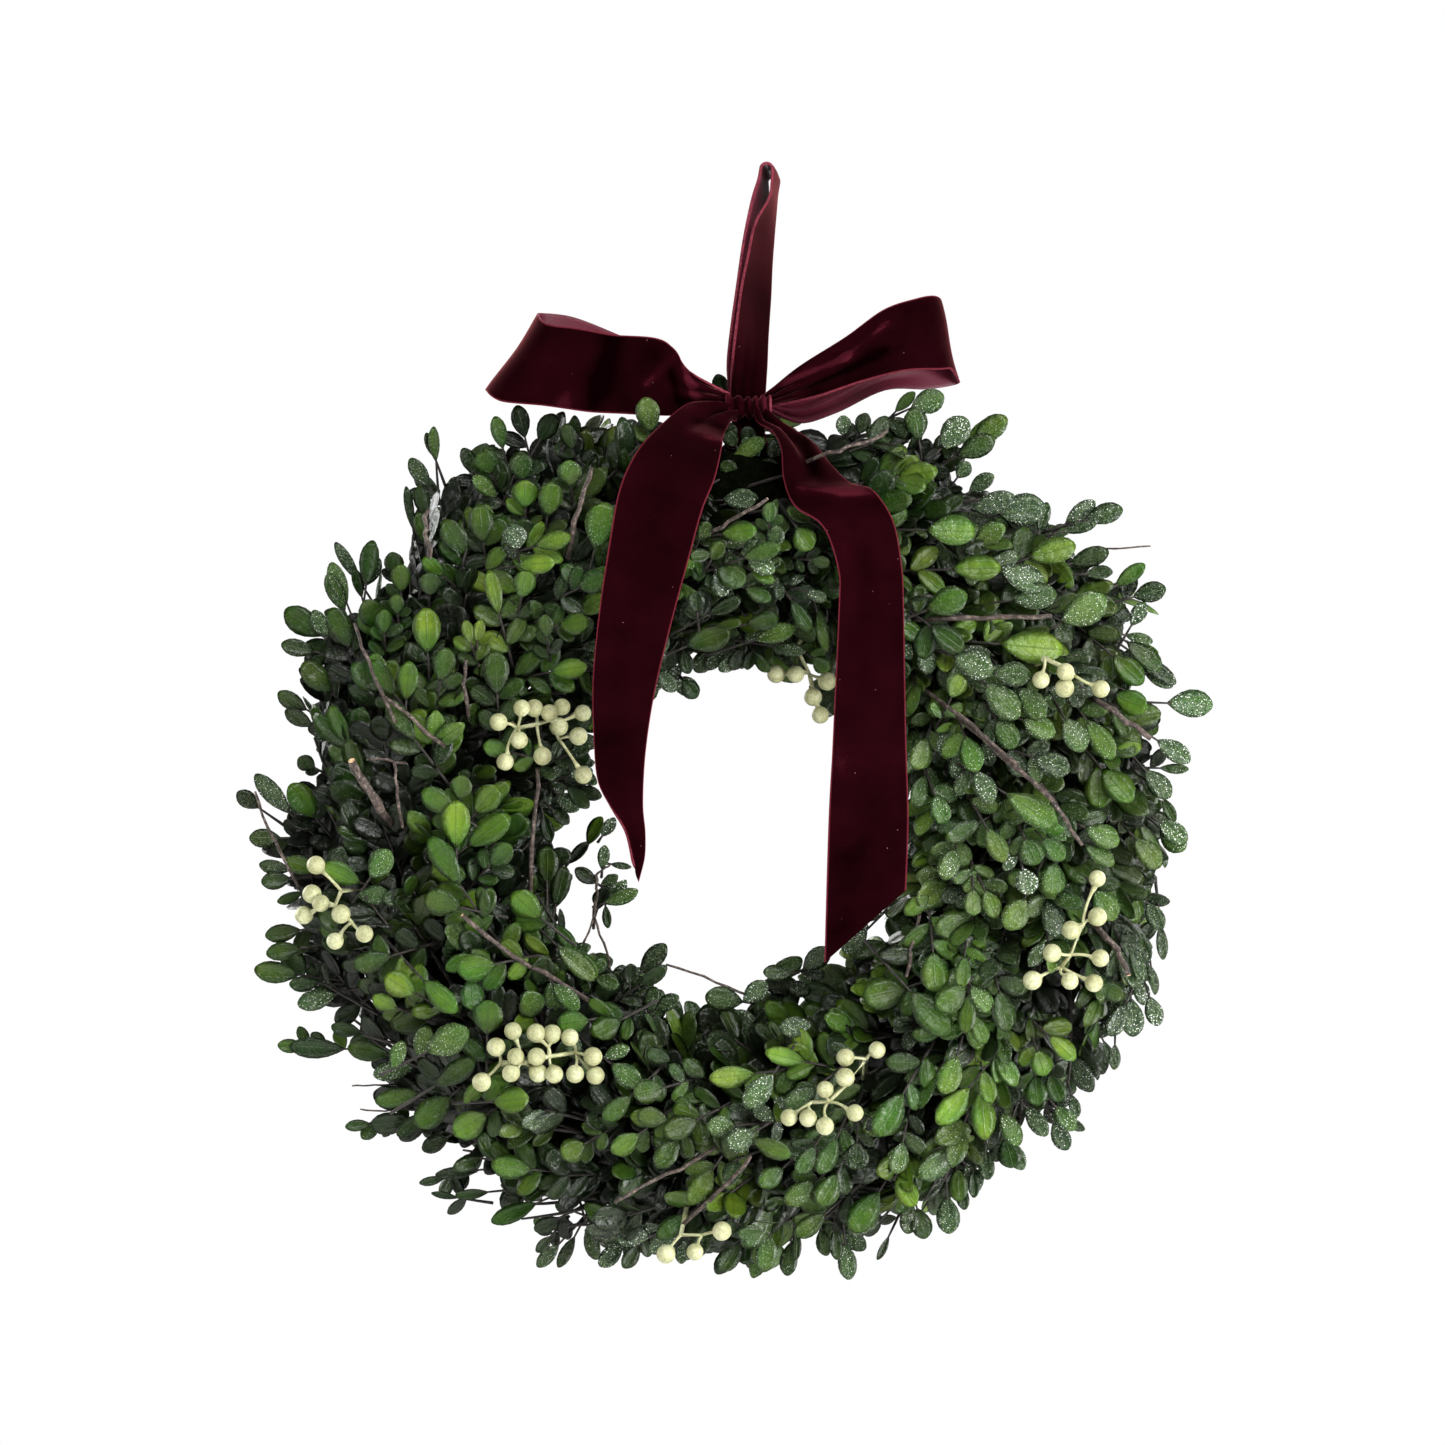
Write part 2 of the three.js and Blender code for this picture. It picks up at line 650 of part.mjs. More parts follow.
function growStraySprig(owner, pieces, random) {
  const angle = radians(STRAY_SPRIG.angle);
  const root = onWreath(HEART_RADIUS - CORE_HALF_WIDTH + TWIG_SUNK, angle, HEART_Y);
  const bend = onWreath(HEART_RADIUS - STRAY_SPRIG.reach + 8, angle - radians(6), HEART_Y - 4);
  growTwig(owner + "sprig", pieces, root, bend, v3(0, -1, 0), random);
}

// Fuses a bunch's pieces, cuts the holes for what passes through it and drops loose scraps.
function fuseBunch(pieces, cuts) {
  let solid = wasm.Manifold.union(pieces);
  for (const cut of cuts) solid = solid.subtract(cut);
  const bodies = solid.decompose().sort((a, b) => b.volume() - a.volume());
  return bodies[0];
}

// The slot that the hanging ribbon takes through the top of the foliage, open at the back.
function ribbonSlot() {
  const half = RIBBON_WIDTH / 2 + 0.8;
  const outline = [
    [-15, KNOT.z + 20],
    [-15.5, KNOT.z - 20],
    [RING_Y - RING_CLEAR - 3, RING_TOP_Z + 18],
    [RING_Y - RING_CLEAR - 1.2, RING_TOP_Z - 20],
    [BACK_FACE_Y + 12, RING_TOP_Z - 20],
    [BACK_FACE_Y + 12, KNOT.z + 20],
  ];
  const rings = [-half, half].map((x) => outline.map(([y, z]) => v3(KNOT.x + x, y, z)));
  return loft(rings);
}

// The object

const wreath = new THREE.Group();

function addNode(name, solid, material) {
  const mesh = solid.getMesh();
  const step = mesh.numProp;
  const positions = new Float32Array(mesh.numVert * 3);
  for (let i = 0; i < mesh.numVert; i += 1) {
    positions.set(mesh.vertProperties.subarray(i * step, i * step + 3), i * 3);
  }
  const geometry = new THREE.BufferGeometry();
  geometry.setAttribute("position", new THREE.BufferAttribute(positions, 3));
  geometry.setIndex(new THREE.BufferAttribute(mesh.triVerts, 1));
  geometry.computeVertexNormals();
  const node = new THREE.Mesh(geometry, material);
  node.name = name;
  wreath.add(node);
}

const matte = (color, roughness, metalness = 0) =>
  new THREE.MeshStandardMaterial({ color, roughness, metalness });
const leafMaterial = matte(COLOURS.leaf, 0.6);
const vineMaterial = matte(COLOURS.vine, 0.85);
const wireMaterial = matte(COLOURS.wire, 0.4, 1);
const berryMaterial = matte(COLOURS.berry, 0.55);
const ribbonMaterial = matte(COLOURS.ribbon, 0.9);

addNode("vine_ring", vineRing(), vineMaterial);
addNode("binding_wire", bindingWire(), wireMaterial);
addNode("hanging_ribbon", hangingBand(), ribbonMaterial);
addNode("bow_knot", bowKnot(), ribbonMaterial);
claim("hanging_ribbon", hangingBand(FIT_GAP));
claim("bow_knot", bowKnot());
for (const [name, route] of Object.entries(BOW_ROUTES)) {
  addNode(name, routedBand(route), ribbonMaterial);
  claim(name, routedBand(route, FIT_GAP));
}

for (const spray of SPRAYS) {
  addNode(spray.name, berrySpray(spray), berryMaterial);
  claim(spray.name, berrySpray(spray, FIT_GAP));
}

claim("vine_ring", vineRing());
const bunchWidth = (2 * Math.PI) / BUNCH_REACH.length;
BUNCH_REACH.forEach((_, index) => {
  const from = Math.PI / 2 - (index - 0.5) * bunchWidth;
  claim(bunchOwner(index), bunchCore(from, from - bunchWidth, FIT_GAP));
});

const slot = ribbonSlot();
const sprayHoles = SPRAYS.map((spray) => berrySpray(spray, FIT_GAP));
BUNCH_REACH.forEach((_, index) => {
  const pieces = growBunch(index);
  const name = "foliage_bunch_" + String(index + 1).padStart(2, "0");
  addNode(name, fuseBunch(pieces, [slot, ...sprayHoles]), leafMaterial);
});

export default wreath;
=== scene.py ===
"""A mistletoe wreath: twelve bunches of small-leaved evergreen bound clockwise on a vine ring,
eight sprays of cream berries, and a burgundy velvet bow whose ribbon loop hangs it on a door.
The places of ribbons, bunches and berries are the source model's own, in millimetres."""
import math
import random

import bpy
import numpy as np
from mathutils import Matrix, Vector
from mathutils.kdtree import KDTree


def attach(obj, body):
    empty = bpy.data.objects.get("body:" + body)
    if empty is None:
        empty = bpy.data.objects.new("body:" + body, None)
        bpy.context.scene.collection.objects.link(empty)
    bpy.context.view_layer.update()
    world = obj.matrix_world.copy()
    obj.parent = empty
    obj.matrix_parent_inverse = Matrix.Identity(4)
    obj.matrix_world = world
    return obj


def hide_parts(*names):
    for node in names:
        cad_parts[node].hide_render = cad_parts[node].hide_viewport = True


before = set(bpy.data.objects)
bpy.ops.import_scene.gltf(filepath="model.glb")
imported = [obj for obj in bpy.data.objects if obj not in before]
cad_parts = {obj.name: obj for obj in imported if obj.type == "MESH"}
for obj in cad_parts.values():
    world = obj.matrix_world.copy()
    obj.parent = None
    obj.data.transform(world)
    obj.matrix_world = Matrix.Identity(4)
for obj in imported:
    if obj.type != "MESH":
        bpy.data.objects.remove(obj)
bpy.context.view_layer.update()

bpy.ops.object.select_all(action="DESELECT")

# Camera
# Straight in front of the wreath, level with the middle of the picture, 1.5 m from the ring. The
# picture is 722.5 mm wide at the ring.
MM = 0.001
CAMERA_DISTANCE = 1.5
PICTURE_WIDTH = 0.7225
VIEW_X, VIEW_Z = -24.25, -276.25
bpy.ops.object.camera_add(
    location=(VIEW_X * MM, -CAMERA_DISTANCE, VIEW_Z * MM), rotation=(math.pi / 2, 0, 0)
)
camera = bpy.context.object
camera.name = "camera"
camera.data.sensor_width = 36
camera.data.lens = camera.data.sensor_width * CAMERA_DISTANCE / PICTURE_WIDTH
bpy.context.scene.camera = camera


# Studio
# A white room with one broad soft lamp up in front, weaker ones at both sides and behind, and a
# pale painted floor below the hanging wreath.
def linear(hex_colour):
    """An sRGB hex colour as linear values, with an alpha of 1."""
    channels = [int(hex_colour[i : i + 2], 16) / 255 for i in (1, 3, 5)]
    return (*(c / 12.92 if c <= 0.04045 else ((c + 0.055) / 1.055) ** 2.4 for c in channels), 1.0)


def set_inputs(tree, node, **given):
    """Sets a node's inputs, each by its name or number: to a value, a hex colour, a socket, or
    a node, of which the first output in use is meant."""
    for key, value in given.items():
        socket = node.inputs[int(key[1:]) if key[1:].isdigit() else key.replace("_", " ")]
        if isinstance(value, bpy.types.Node):
            value = next(output for output in value.outputs if output.enabled)
        if isinstance(value, bpy.types.NodeSocket):
            tree.links.new(value, socket)
        else:
            socket.default_value = linear(value) if isinstance(value, str) else value


def add_node(tree, kind, **given):
    """Adds a shader node. Names in small letters are its settings, with the stops of a colour
    ramp as (place, hex colour), and the others are its inputs."""
    made = tree.nodes.new("ShaderNode" + kind)
    for i, (position, colour) in enumerate(given.pop("stops", ())):
        elements = made.color_ramp.elements
        element = elements[i] if i < len(elements) else elements.new(1.0)
        element.position, element.color = position, linear(colour)
    for key in [key for key in given if key[0].islower()]:
        setattr(made, key, given.pop(key))
    set_inputs(tree, made, **given)
    return made


def new_material(name, **sockets):
    """A material whose shader has these socket values, with its tree and shader."""
    material = bpy.data.materials.new(name)
    material.use_nodes = True
    tree = material.node_tree
    shader = tree.nodes["Principled BSDF"]
    set_inputs(tree, shader, **sockets)
    return material, tree, shader


world = bpy.data.worlds.new("white room")
world.use_nodes = True
world_tree = world.node_tree
# The walls look white. The light that they throw back is dimmer, most from above.
direction = add_node(world_tree, "TexCoord")
axes = add_node(world_tree, "SeparateXYZ", Vector=direction.outputs["Generated"])
height = add_node(world_tree, "MapRange", Value=axes.outputs["Z"], _1=-1.0)
thrown_back = add_node(
    world_tree, "ValToRGB", stops=[(0.0, "#202020"), (0.5, "#484846"), (1.0, "#D6D6D0")], Fac=height,
)
seen = add_node(world_tree, "LightPath").outputs["Is Camera Ray"]
room = add_node(world_tree, "Mix", data_type="RGBA", _0=seen, _6=thrown_back, _7="#FFFFFF")
set_inputs(world_tree, world_tree.nodes["Background"], Color=room, Strength=1.0)
bpy.context.scene.world = world
bpy.context.scene.view_settings.view_transform = "Standard"

for lamp_name, place, size, power in (
    ("front lamp", (0.35, -1.45, 0.7), 1.0, 31), ("right lamp", (1.15, -0.85, -0.45), 0.6, 28),
    ("left lamp", (-1.25, -0.8, -0.4), 0.6, 6), ("left rear lamp", (-1.35, 0.6, 0.1), 0.8, 26),
    ("right rear lamp", (1.35, 0.6, 0.1), 0.8, 14), ("back lamp", (-0.3, 1.5, 0.2), 1.0, 26),
):
    bpy.ops.object.light_add(type="AREA", location=place)
    lamp = bpy.context.object
    lamp.name = lamp_name
    lamp.data.size = size
    lamp.data.energy = power
    to_wreath = Vector((-0.02, 0, -0.3)) - lamp.location
    lamp.rotation_euler = to_wreath.to_track_quat("-Z", "Y").to_euler()

bpy.ops.mesh.primitive_circle_add(vertices=96, radius=0.9, fill_type="NGON", location=(-0.02, -0.66, -0.72))
floor = bpy.context.object
floor.name = "floor"
paint = new_material("floor paint", Roughness=0.8, Base_Color="#F2F1EE")[0]
floor.data.materials.append(paint)

# Ribbon
# Velvet ribbon 38 mm wide, with a cut silk pile on its face, a smooth satin back and a woven
# edge. All the bow's pieces and the hanging loop are cut from it.
RIBBON_WIDTH = 38
RIBBON_THICKNESS = 1.3

velvet, tree, shader = new_material(
    "burgundy velvet", Roughness=0.9, Sheen_Weight=0.76, Sheen_Roughness=0.28,
    Sheen_Tint="#A65C60", Specular_IOR_Level=0.0,
)
place = add_node(tree, "TexCoord")
# The pile lies this way and that in patches of a few centimetres, some lighter than others.
patches = add_node(tree, "TexNoise", Vector=place.outputs["Object"], Scale=38.0, Detail=2.0)
pile = add_node(tree, "TexNoise", Vector=place.outputs["Object"], Scale=1500.0)
mixed = add_node(tree, "Math", operation="MULTIPLY_ADD", _0=pile, _1=0.25, _2=patches)
# Painted light: the pile is painted lighter on the crests of folds, creases and the crown, and darker in
# their valleys, as painted highlight and painted shade.
painted_fold_light = add_node(tree, "Attribute", attribute_name="painted_fold_light").outputs["Fac"]
mixed = add_node(tree, "Math", operation="MULTIPLY_ADD", _0=painted_fold_light, _1=0.4, _2=mixed)
colour = add_node(
    tree, "ValToRGB", Fac=mixed,
    stops=[(0.25, "#060001"), (0.5, "#120204"), (0.84, "#1B0307"), (1.0, "#3C111A")],
)
# Specks of dust and glitter from the leaves, under a millimetre each.
specks = add_node(tree, "TexVoronoi", Vector=place.outputs["Object"], Scale=120.0)
specks = add_node(tree, "Math", operation="LESS_THAN", _0=specks, _1=0.034)
# The outermost millimetre is the woven edge.
across = add_node(tree, "SeparateXYZ", Vector=place.outputs["UV"]).outputs["X"]
from_middle = add_node(tree, "Math", operation="SUBTRACT", _0=across, _1=0.5)
from_middle = add_node(tree, "Math", operation="ABSOLUTE", _0=from_middle)
at_edge = add_node(tree, "MapRange", Value=from_middle, _1=0.478, _2=0.494)
for mask, laid_on in ((at_edge, "#5A1E28"), (specks, "#664448")):
    colour = add_node(tree, "Mix", data_type="RGBA", _0=mask, _6=colour, _7=laid_on)
nap = add_node(tree, "Bump", Height=pile, Strength=0.25, Distance=0.0004)
set_inputs(tree, shader, Base_Color=colour, Normal=nap)

satin, tree, shader = new_material(
    "satin back", Roughness=0.45, Sheen_Weight=0.15, Sheen_Roughness=0.4,
    Sheen_Tint="#B84A60", Specular_IOR_Level=0.25, Anisotropic=0.5,
)
place = add_node(tree, "TexCoord")
# Weft threads across the ribbon, drawn 0.8 mm apart, coarser than real ones.
threads = add_node(
    tree, "TexWave", bands_direction="Y", Vector=place.outputs["UV"], Scale=110.0, Distortion=0.6
).outputs["Fac"]
colour = add_node(tree, "ValToRGB", stops=[(0.0, "#4C1424"), (1.0, "#662434")], Fac=threads)
weft = add_node(tree, "Bump", Height=threads, Strength=0.15, Distance=0.0003)
set_inputs(tree, shader, Base_Color=colour, Normal=weft)


def grained_material(name, stops, scale, detail=2.0, roughness=0.5, bump=None, **sockets):
    """A material whose colour runs through the stops with the grain of the stuff, of this
    scale, with bumps of a strength and height (metres) in the same grain."""
    material, tree, shader = new_material(name, **sockets)
    place = add_node(tree, "TexCoord")
    grain = add_node(
        tree, "TexNoise", Vector=place.outputs["Object"], Scale=scale, Detail=detail, Roughness=roughness,
    )
    colour = add_node(tree, "ValToRGB", stops=stops, Fac=grain)
    set_inputs(tree, shader, Base_Color=colour)
    if bump:
        relief = add_node(tree, "Bump", Height=grain, Strength=bump[0], Distance=bump[1])
        set_inputs(tree, shader, Normal=relief)
    return material


# The edge's stitches are about a millimetre apart.
selvedge = grained_material(
    "woven edge", [(0.3, "#4E1824"), (0.7, "#7A323E")], 900.0, Roughness=0.8, Specular_IOR_Level=0.1,
)


def smooth_rows(stations, per_span, closed=False):
    """Rows of numbers on a smooth curve through the stations."""
    p = np.array(stations, float)
    count = len(p)
    rows = []
    for i in range(count if closed else count - 1):
        if closed:
            a, b, c, d = (p[(i + k) % count] for k in (-1, 0, 1, 2))
        else:
            a, b, c, d = p[max(i - 1, 0)], p[i], p[i + 1], p[min(i + 2, count - 1)]
        for t in np.arange(per_span) / per_span:
            parabola = 2 * b + (c - a) * t + (2 * a - 5 * b + 4 * c - d) * t**2
            rows.append(0.5 * (parabola + (3 * b - a - 3 * c + d) * t**3))
    rows.append(rows[0] if closed else p[-1])
    return np.array(rows)


def merge_doubles(distance):
    """Merges those points of the active piece that lie this close, in its own units."""
    bpy.ops.object.mode_set(mode="EDIT")
    bpy.ops.mesh.select_all(action="SELECT")
    bpy.ops.mesh.remove_doubles(threshold=distance)
    bpy.ops.object.mode_set(mode="OBJECT")


# The slow wave along a ribbon: millimetres to a radian. A slanted end's folds fade over rows.
WAVE_STEP = 21
SLANT_FADE = 16
ribbon_surfaces = {}


def make_ribbon(
    name, rows, closed=False, face_forward=True, folds=3, fold_depth=2.6, wave=0.8, cells=20, cut_rows=0,
    crown=0, creases=(),
):
    """A ribbon along rows of left and right edge points (mm). Where it is drawn in narrower
    than it was cut, the spare cloth stands in folds that run along it. The last cut_rows rows
    are narrower because the ribbon is cut on a slant there. Its middle stands up by crown.
    Single creases in its first half run from x, z to x, z with a half width and a height."""
    lefts, rights = rows[:, :3], rows[:, 3:]
    if face_forward:
        lefts, rights = rights, lefts
    last = len(rows) - 1
    bpy.ops.mesh.primitive_grid_add(x_subdivisions=cells, y_subdivisions=last, size=1)
    piece = bpy.context.object
    piece.name = name
    flat = np.empty(3 * len(piece.data.vertices))
    piece.data.vertices.foreach_get("co", flat)
    flat = flat.reshape(-1, 3)
    share = flat[:, 0] + 0.5
    row = np.rint((flat[:, 1] + 0.5) * last).astype(int)

    middle = (lefts + rights) / 2
    if closed:
        along = np.roll(middle[:-1], -1, axis=0) - np.roll(middle[:-1], 1, axis=0)
        along = np.vstack([along, along[:1]])
    else:
        along = np.gradient(middle, axis=0)
    across = rights - lefts
    normal = np.cross(along, across)
    normal /= np.linalg.norm(normal, axis=1)[:, None]
    width = np.linalg.norm(across, axis=1)
    drawn_in = np.clip(1 - width / RIBBON_WIDTH, 0, 1)
    if cut_rows:
        drawn_in *= np.clip((last - np.arange(last + 1) - cut_rows) / SLANT_FADE, 0, 1)
    travel = np.concatenate([[0], np.cumsum(np.linalg.norm(np.diff(middle, axis=0), axis=1))])
    # Folds fade out as the ribbon spreads, and a slow wave runs along it.
    phase = 2 * math.pi * folds * (share + 0.04 * np.sin(2 * math.pi * share + 2)) + 0.6
    phase += 0.7 * np.sin(2 * math.pi * row / last)
    lift = fold_depth * drawn_in[row] * np.cos(phase) + crown * np.sin(math.pi * share)
    swell = np.sin(travel[row] / WAVE_STEP + 2.2 * share)
    lift += wave * (1 - drawn_in[row]) * swell * np.sin(math.pi * share)
    place_mm = lefts[row] + across[row] * share[:, None] + normal[row] * lift[:, None]
    # Painted light: the crown and the crests of folds and creases are painted lighter, and their valleys
    # darker.
    painted_fold_light = 0.35 * crown - 0.5 * drawn_in[row] * np.cos(phase)
    for x0, z0, x1, z1, half, height in creases:
        step = np.array([x1 - x0, z1 - z0])
        offset = place_mm[:, [0, 2]] - [x0, z0]
        reached = np.clip(offset @ step / (step @ step), 0, 1)
        off = np.linalg.norm(offset - reached[:, None] * step, axis=1)
        ridge = np.exp(-((off / half) ** 2)) * (row < last / 2)
        place_mm[:, 1] -= height * ridge
        painted_fold_light += np.sign(height) * ridge
    piece.data.attributes.new("painted_fold_light", "FLOAT", "POINT").data.foreach_set("value", painted_fold_light)
    piece.data.vertices.foreach_set("co", (place_mm * MM).ravel())
    piece.data.update()
    ribbon_surfaces[name] = place_mm

    for material in (velvet, satin, selvedge):
        piece.data.materials.append(material)
    if closed:
        merge_doubles(0.02 * MM)
    body = piece.modifiers.new("body", "SOLIDIFY")
    body.thickness = RIBBON_THICKNESS * MM
    body.offset = 0
    body.material_offset = 1
    body.material_offset_rim = 2
    rounded = piece.modifiers.new("rounded edge", "BEVEL")
    rounded.width = 0.3 * MM
    rounded.segments = 2
    rounded.limit_method = "ANGLE"
    rounded.angle_limit = math.radians(60)
    for modifier in ("body", "rounded edge"):
        bpy.ops.object.modifier_apply(modifier=modifier)
    bpy.ops.object.shade_smooth_by_angle(angle=math.radians(50))
    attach(piece, "root")
    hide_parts(name.removesuffix("_velvet"))
    bpy.ops.object.select_all(action="DESELECT")
    return piece, travel[-1]


# Tails
# The two ends of the bow come out under the knot, roll over its lower edge and hang down in
# front of the foliage, each cut off on a slant. Stations: left x and z, right x and z, depth.
LEFT_TAIL = [
    (-22.5, -121.5, -17, -126.5, -22.5), (-30, -120, -20.5, -128.5, -30), (-41.5, -122, -24, -136.5, -42),
    (-54, -134, -25, -146, -60), (-65, -148, -28, -161, -76), (-73, -167, -34, -177, -86),
    (-78, -195, -41, -203, -90), (-82, -223, -48, -229, -92), (-85, -256, -55.8, -261, -92),
    (-84.6, -284, -60.3, -290, -92), (-83, -303, -61.6, -314, -92), (-77, -315.5, -60.5, -328, -92),
    (-70, -327, -60.8, -340, -92), (-66.5, -341, -63.6, -351, -92),
]
RIGHT_TAIL = [
    (-8, -123, -0.5, -124, -22.5), (-7, -129.5, 8, -131.5, -27), (0, -135, 19, -140, -42),
    (4, -145, 27, -152, -58), (5, -161, 36, -162, -70), (10, -174, 47, -167, -80),
    (23, -184, 56, -181, -86), (30, -204, 60, -202, -88), (30.3, -223, 61, -223, -90),
    (27.5, -285, 62, -285, -91), (25.6, -322, 63, -322, -91), (23.6, -389, 62, -355, -91),
]


def edge_points(stations):
    """Left and right edge points from stations that share a depth."""
    return [(lx, y, lz, rx, y, rz) for lx, lz, rx, rz, y in stations]


LEFT_TAIL_CREASES = [(-41, -137, -23, -141.5, 2.4, 2.2), (-38, -130, -26, -133, 3, -1.6)]
RIGHT_TAIL_CREASES = [(13, -134, 20, -157, 4, -3.2), (12, -165.5, 46, -168, 2.6, 2.4)]
for name, stations, cut_rows, creases in (
    ("bow_tail_left", LEFT_TAIL, 32, LEFT_TAIL_CREASES),
    ("bow_tail_right", RIGHT_TAIL, 8, RIGHT_TAIL_CREASES),
):
    rows = smooth_rows(edge_points(stations), 8)
    tail, length = make_ribbon(
        name + "_velvet", rows, folds=1.5, fold_depth=3.8, wave=1.4, cut_rows=cut_rows, creases=creases,
    )

# Loops
# The two ears of the bow: each ribbon leaves the knot in front, turns at its end and comes
# back behind. The satin back shows inside them.
LEFT_LOOP = [
    (-20.5, -114, -21, -120, -18.5), (-40, -104.5, -46, -125.5, -31), (-48.5, -93.5, -60, -126.3, -36),
    (-57, -89, -71, -126, -39), (-77, -87.5, -90, -125, -40), (-96, -84, -111, -122, -38),
    (-109, -82, -132, -119.5, -35), (-114.5, -76.5, -140, -113.5, -22), (-114, -72.5, -139, -110.5, -6),
    (-99, -73.5, -118, -112, 0), (-77, -82, -91, -117, 0), (-52, -94, -60, -119.5, -3),
    (-21.5, -115, -21.5, -121, -10),
]
RIGHT_LOOP = [
    (-2.5, -114, -2.5, -120.5, -18.5), (14, -102, 21, -117, -32), (36, -88.5, 44, -110, -38),
    (54, -75.5, 65, -105, -40), (70, -69.5, 82, -104, -36), (79, -67, 88, -103, -28),
    (83.5, -67.5, 92, -106.5, -16), (82.5, -69.5, 92, -108, -6), (67, -75, 77, -111, -12),
    (46, -87, 56, -112, -15), (24, -101, 32, -123, -12), (9, -110, 14, -127.5, -9),
    (-1.5, -115, -1.5, -121, -10),
]
LEFT_LOOP_CREASES = [
    (-62, -112, -48, -98, 2.4, 2.8), (-50, -104, -45, -122, 2.6, -1.8), (-44, -101, -37, -119, 2.2, 2.2),
    (-78, -89, -88, -124, 6, -1.2),
]
RIGHT_LOOP_CREASES = [
    (8, -109.5, 36, -98, 2, 1.6), (36, -98, 56, -82, 2, 1.8), (20, -113, 54, -95, 3.2, -1.8),
]
for name, stations, face_forward, creases in (
    ("bow_loop_left", LEFT_LOOP, True, LEFT_LOOP_CREASES),
    ("bow_loop_right", RIGHT_LOOP, False, RIGHT_LOOP_CREASES),
):
    rows = smooth_rows(edge_points(stations), 7)
    loop, length = make_ribbon(name + "_velvet", rows, face_forward=face_forward, wave=1.3, creases=creases)

# Hanging ribbon
# One ribbon round the vine ring, up through the knot and over the hook, so the whole wreath
# hangs from it. Its two strands turn edge-on above the knot.
RING_RADIUS = 152
RING_Y = 14
CENTRE_X, CENTRE_Z = -22.5, -332.5
RING_TOP = CENTRE_Z + RING_RADIUS
RING_CLEAR = 12.7
KNOT_X, KNOT_Y, KNOT_Z = -11.5, -15.5, -120.5
STRAND_BACK, STRAND_FRONT = -9.9, -12.1
BEND_X = -0.5
HALF_GAP = 3.0


def strand(near_x, y, z, width, degrees):
    """A station above the knot, from the x of its edge nearest the viewer."""
    return (near_x + width * math.cos(math.radians(degrees)) / 2, y, z, width, degrees)


# Middle x, y and z, width and turn of each station. The strand on the left shows its back.
hanging = [
    (KNOT_X, RING_Y + RING_CLEAR, RING_TOP, 38, 0), (KNOT_X, RING_Y + RING_CLEAR - 2, RING_TOP + 14, 34, 0),
    (KNOT_X, STRAND_BACK + 8, KNOT_Z - 24, 22, 0), (KNOT_X, STRAND_BACK, KNOT_Z - 9, 16, 0),
    (KNOT_X - 1, STRAND_BACK, KNOT_Z + 9, 18, 0), strand(-21.8, STRAND_BACK + 3, -98.5, 28, 50),
    strand(-19.8, STRAND_BACK + 6, -80.5, 38, 66), strand(-17.2, 0, -61.5, 38, 70),
    strand(-13.7, 1, -37.5, 38, 75), strand(-9.6, 0, -18, 38, 78), strand(-6.5, 0, -8, 38, 82),
]
for degrees in (170, 145, 118, 90, 62, 35, 10):
    turn = math.radians(degrees)
    hanging.append((BEND_X + HALF_GAP * math.cos(turn), 0, HALF_GAP * math.sin(turn) - 3, 38, 84))
hanging += [
    strand(0.1, 0, -9, 38, 85), strand(-1.3, 0, -17.5, 38, 84), strand(-8.2, 0, -30, 38, 75),
    strand(-11.6, -1, -45.5, 38, 71.4), strand(-14.9, -3, -61.5, 38, 67.2),
    strand(-17.6, STRAND_FRONT + 3, -82, 38, 65), strand(-19.4, STRAND_FRONT - 2, -98.5, 28, 52),
    (KNOT_X, STRAND_FRONT, KNOT_Z + 9, 17.5, 0), (KNOT_X, STRAND_FRONT, KNOT_Z - 9, 16, 0),
    (KNOT_X, STRAND_FRONT + 2, KNOT_Z - 24, 22, 0), (KNOT_X, RING_Y - RING_CLEAR, RING_TOP + 14, 34, 0),
    (KNOT_X, RING_Y - RING_CLEAR, RING_TOP, 38, 0),
]
for degrees in (216, 252, 288, 324):
    turn = math.radians(degrees)
    hanging.append(
        (KNOT_X, RING_Y + RING_CLEAR * math.cos(turn), RING_TOP - 3.5 + RING_CLEAR * math.sin(turn), 38, 0)
    )


def turned_edges(stations):
    """Left and right edge points from middle, width and turn towards the depth."""
    rows = []
    for x, y, z, width, degrees in stations:
        dx = width * math.cos(math.radians(degrees)) / 2
        dy = width * math.sin(math.radians(degrees)) / 2
        rows.append((x - dx, y - dy, z, x + dx, y + dy, z))
    return rows


rows = smooth_rows(turned_edges(hanging), 5, closed=True)
strap, length = make_ribbon("hanging_ribbon_velvet", rows, closed=True, fold_depth=0.5, wave=0.3)

# Knot
# A short length of the same ribbon, drawn in to about half its width and sewn round the
# middle of the bow, with pleats that run up and down.
KNOT_HALF_WIDTH, KNOT_HALF_DEPTH, KNOT_HALF_HEIGHT = 11, 8.1, 5.8
KNOT_STEPS = 16
knot_stations = []
for step in range(KNOT_STEPS):
    turn = 2 * math.pi * step / KNOT_STEPS
    squared = [math.copysign(abs(f(turn)) ** 0.7, f(turn)) for f in (math.cos, math.sin)]
    y = KNOT_Y - KNOT_HALF_DEPTH * squared[0]
    z = KNOT_Z + KNOT_HALF_HEIGHT * squared[1]
    knot_stations.append((KNOT_X - KNOT_HALF_WIDTH, y, z, KNOT_X + KNOT_HALF_WIDTH, y, z))
rows = smooth_rows(knot_stations, 3, closed=True)
knot, length = make_ribbon(
    "bow_knot_velvet", rows, closed=True, face_forward=False, folds=5, fold_depth=2.5, wave=0, cells=56,
    crown=1.9,
)

# Vine ring
# The base of the wreath: three lengths of brown vine twisted round each other into a ring,
# with a rough bark. It shows from behind.
VINE_TWISTS = 4
VINE_OFFSET = 4.3
VINE_RADIUS = 4.4

# Bark fibres a few millimetres apart, broken up along the vine.
vine_bark = grained_material(
    "vine bark", [(0.3, "#2A1C12"), (0.5, "#4A3424"), (0.7, "#75563A")], 260.0, detail=6.0,
    roughness=0.7, bump=(0.8, 0.0015), Roughness=0.85,
)


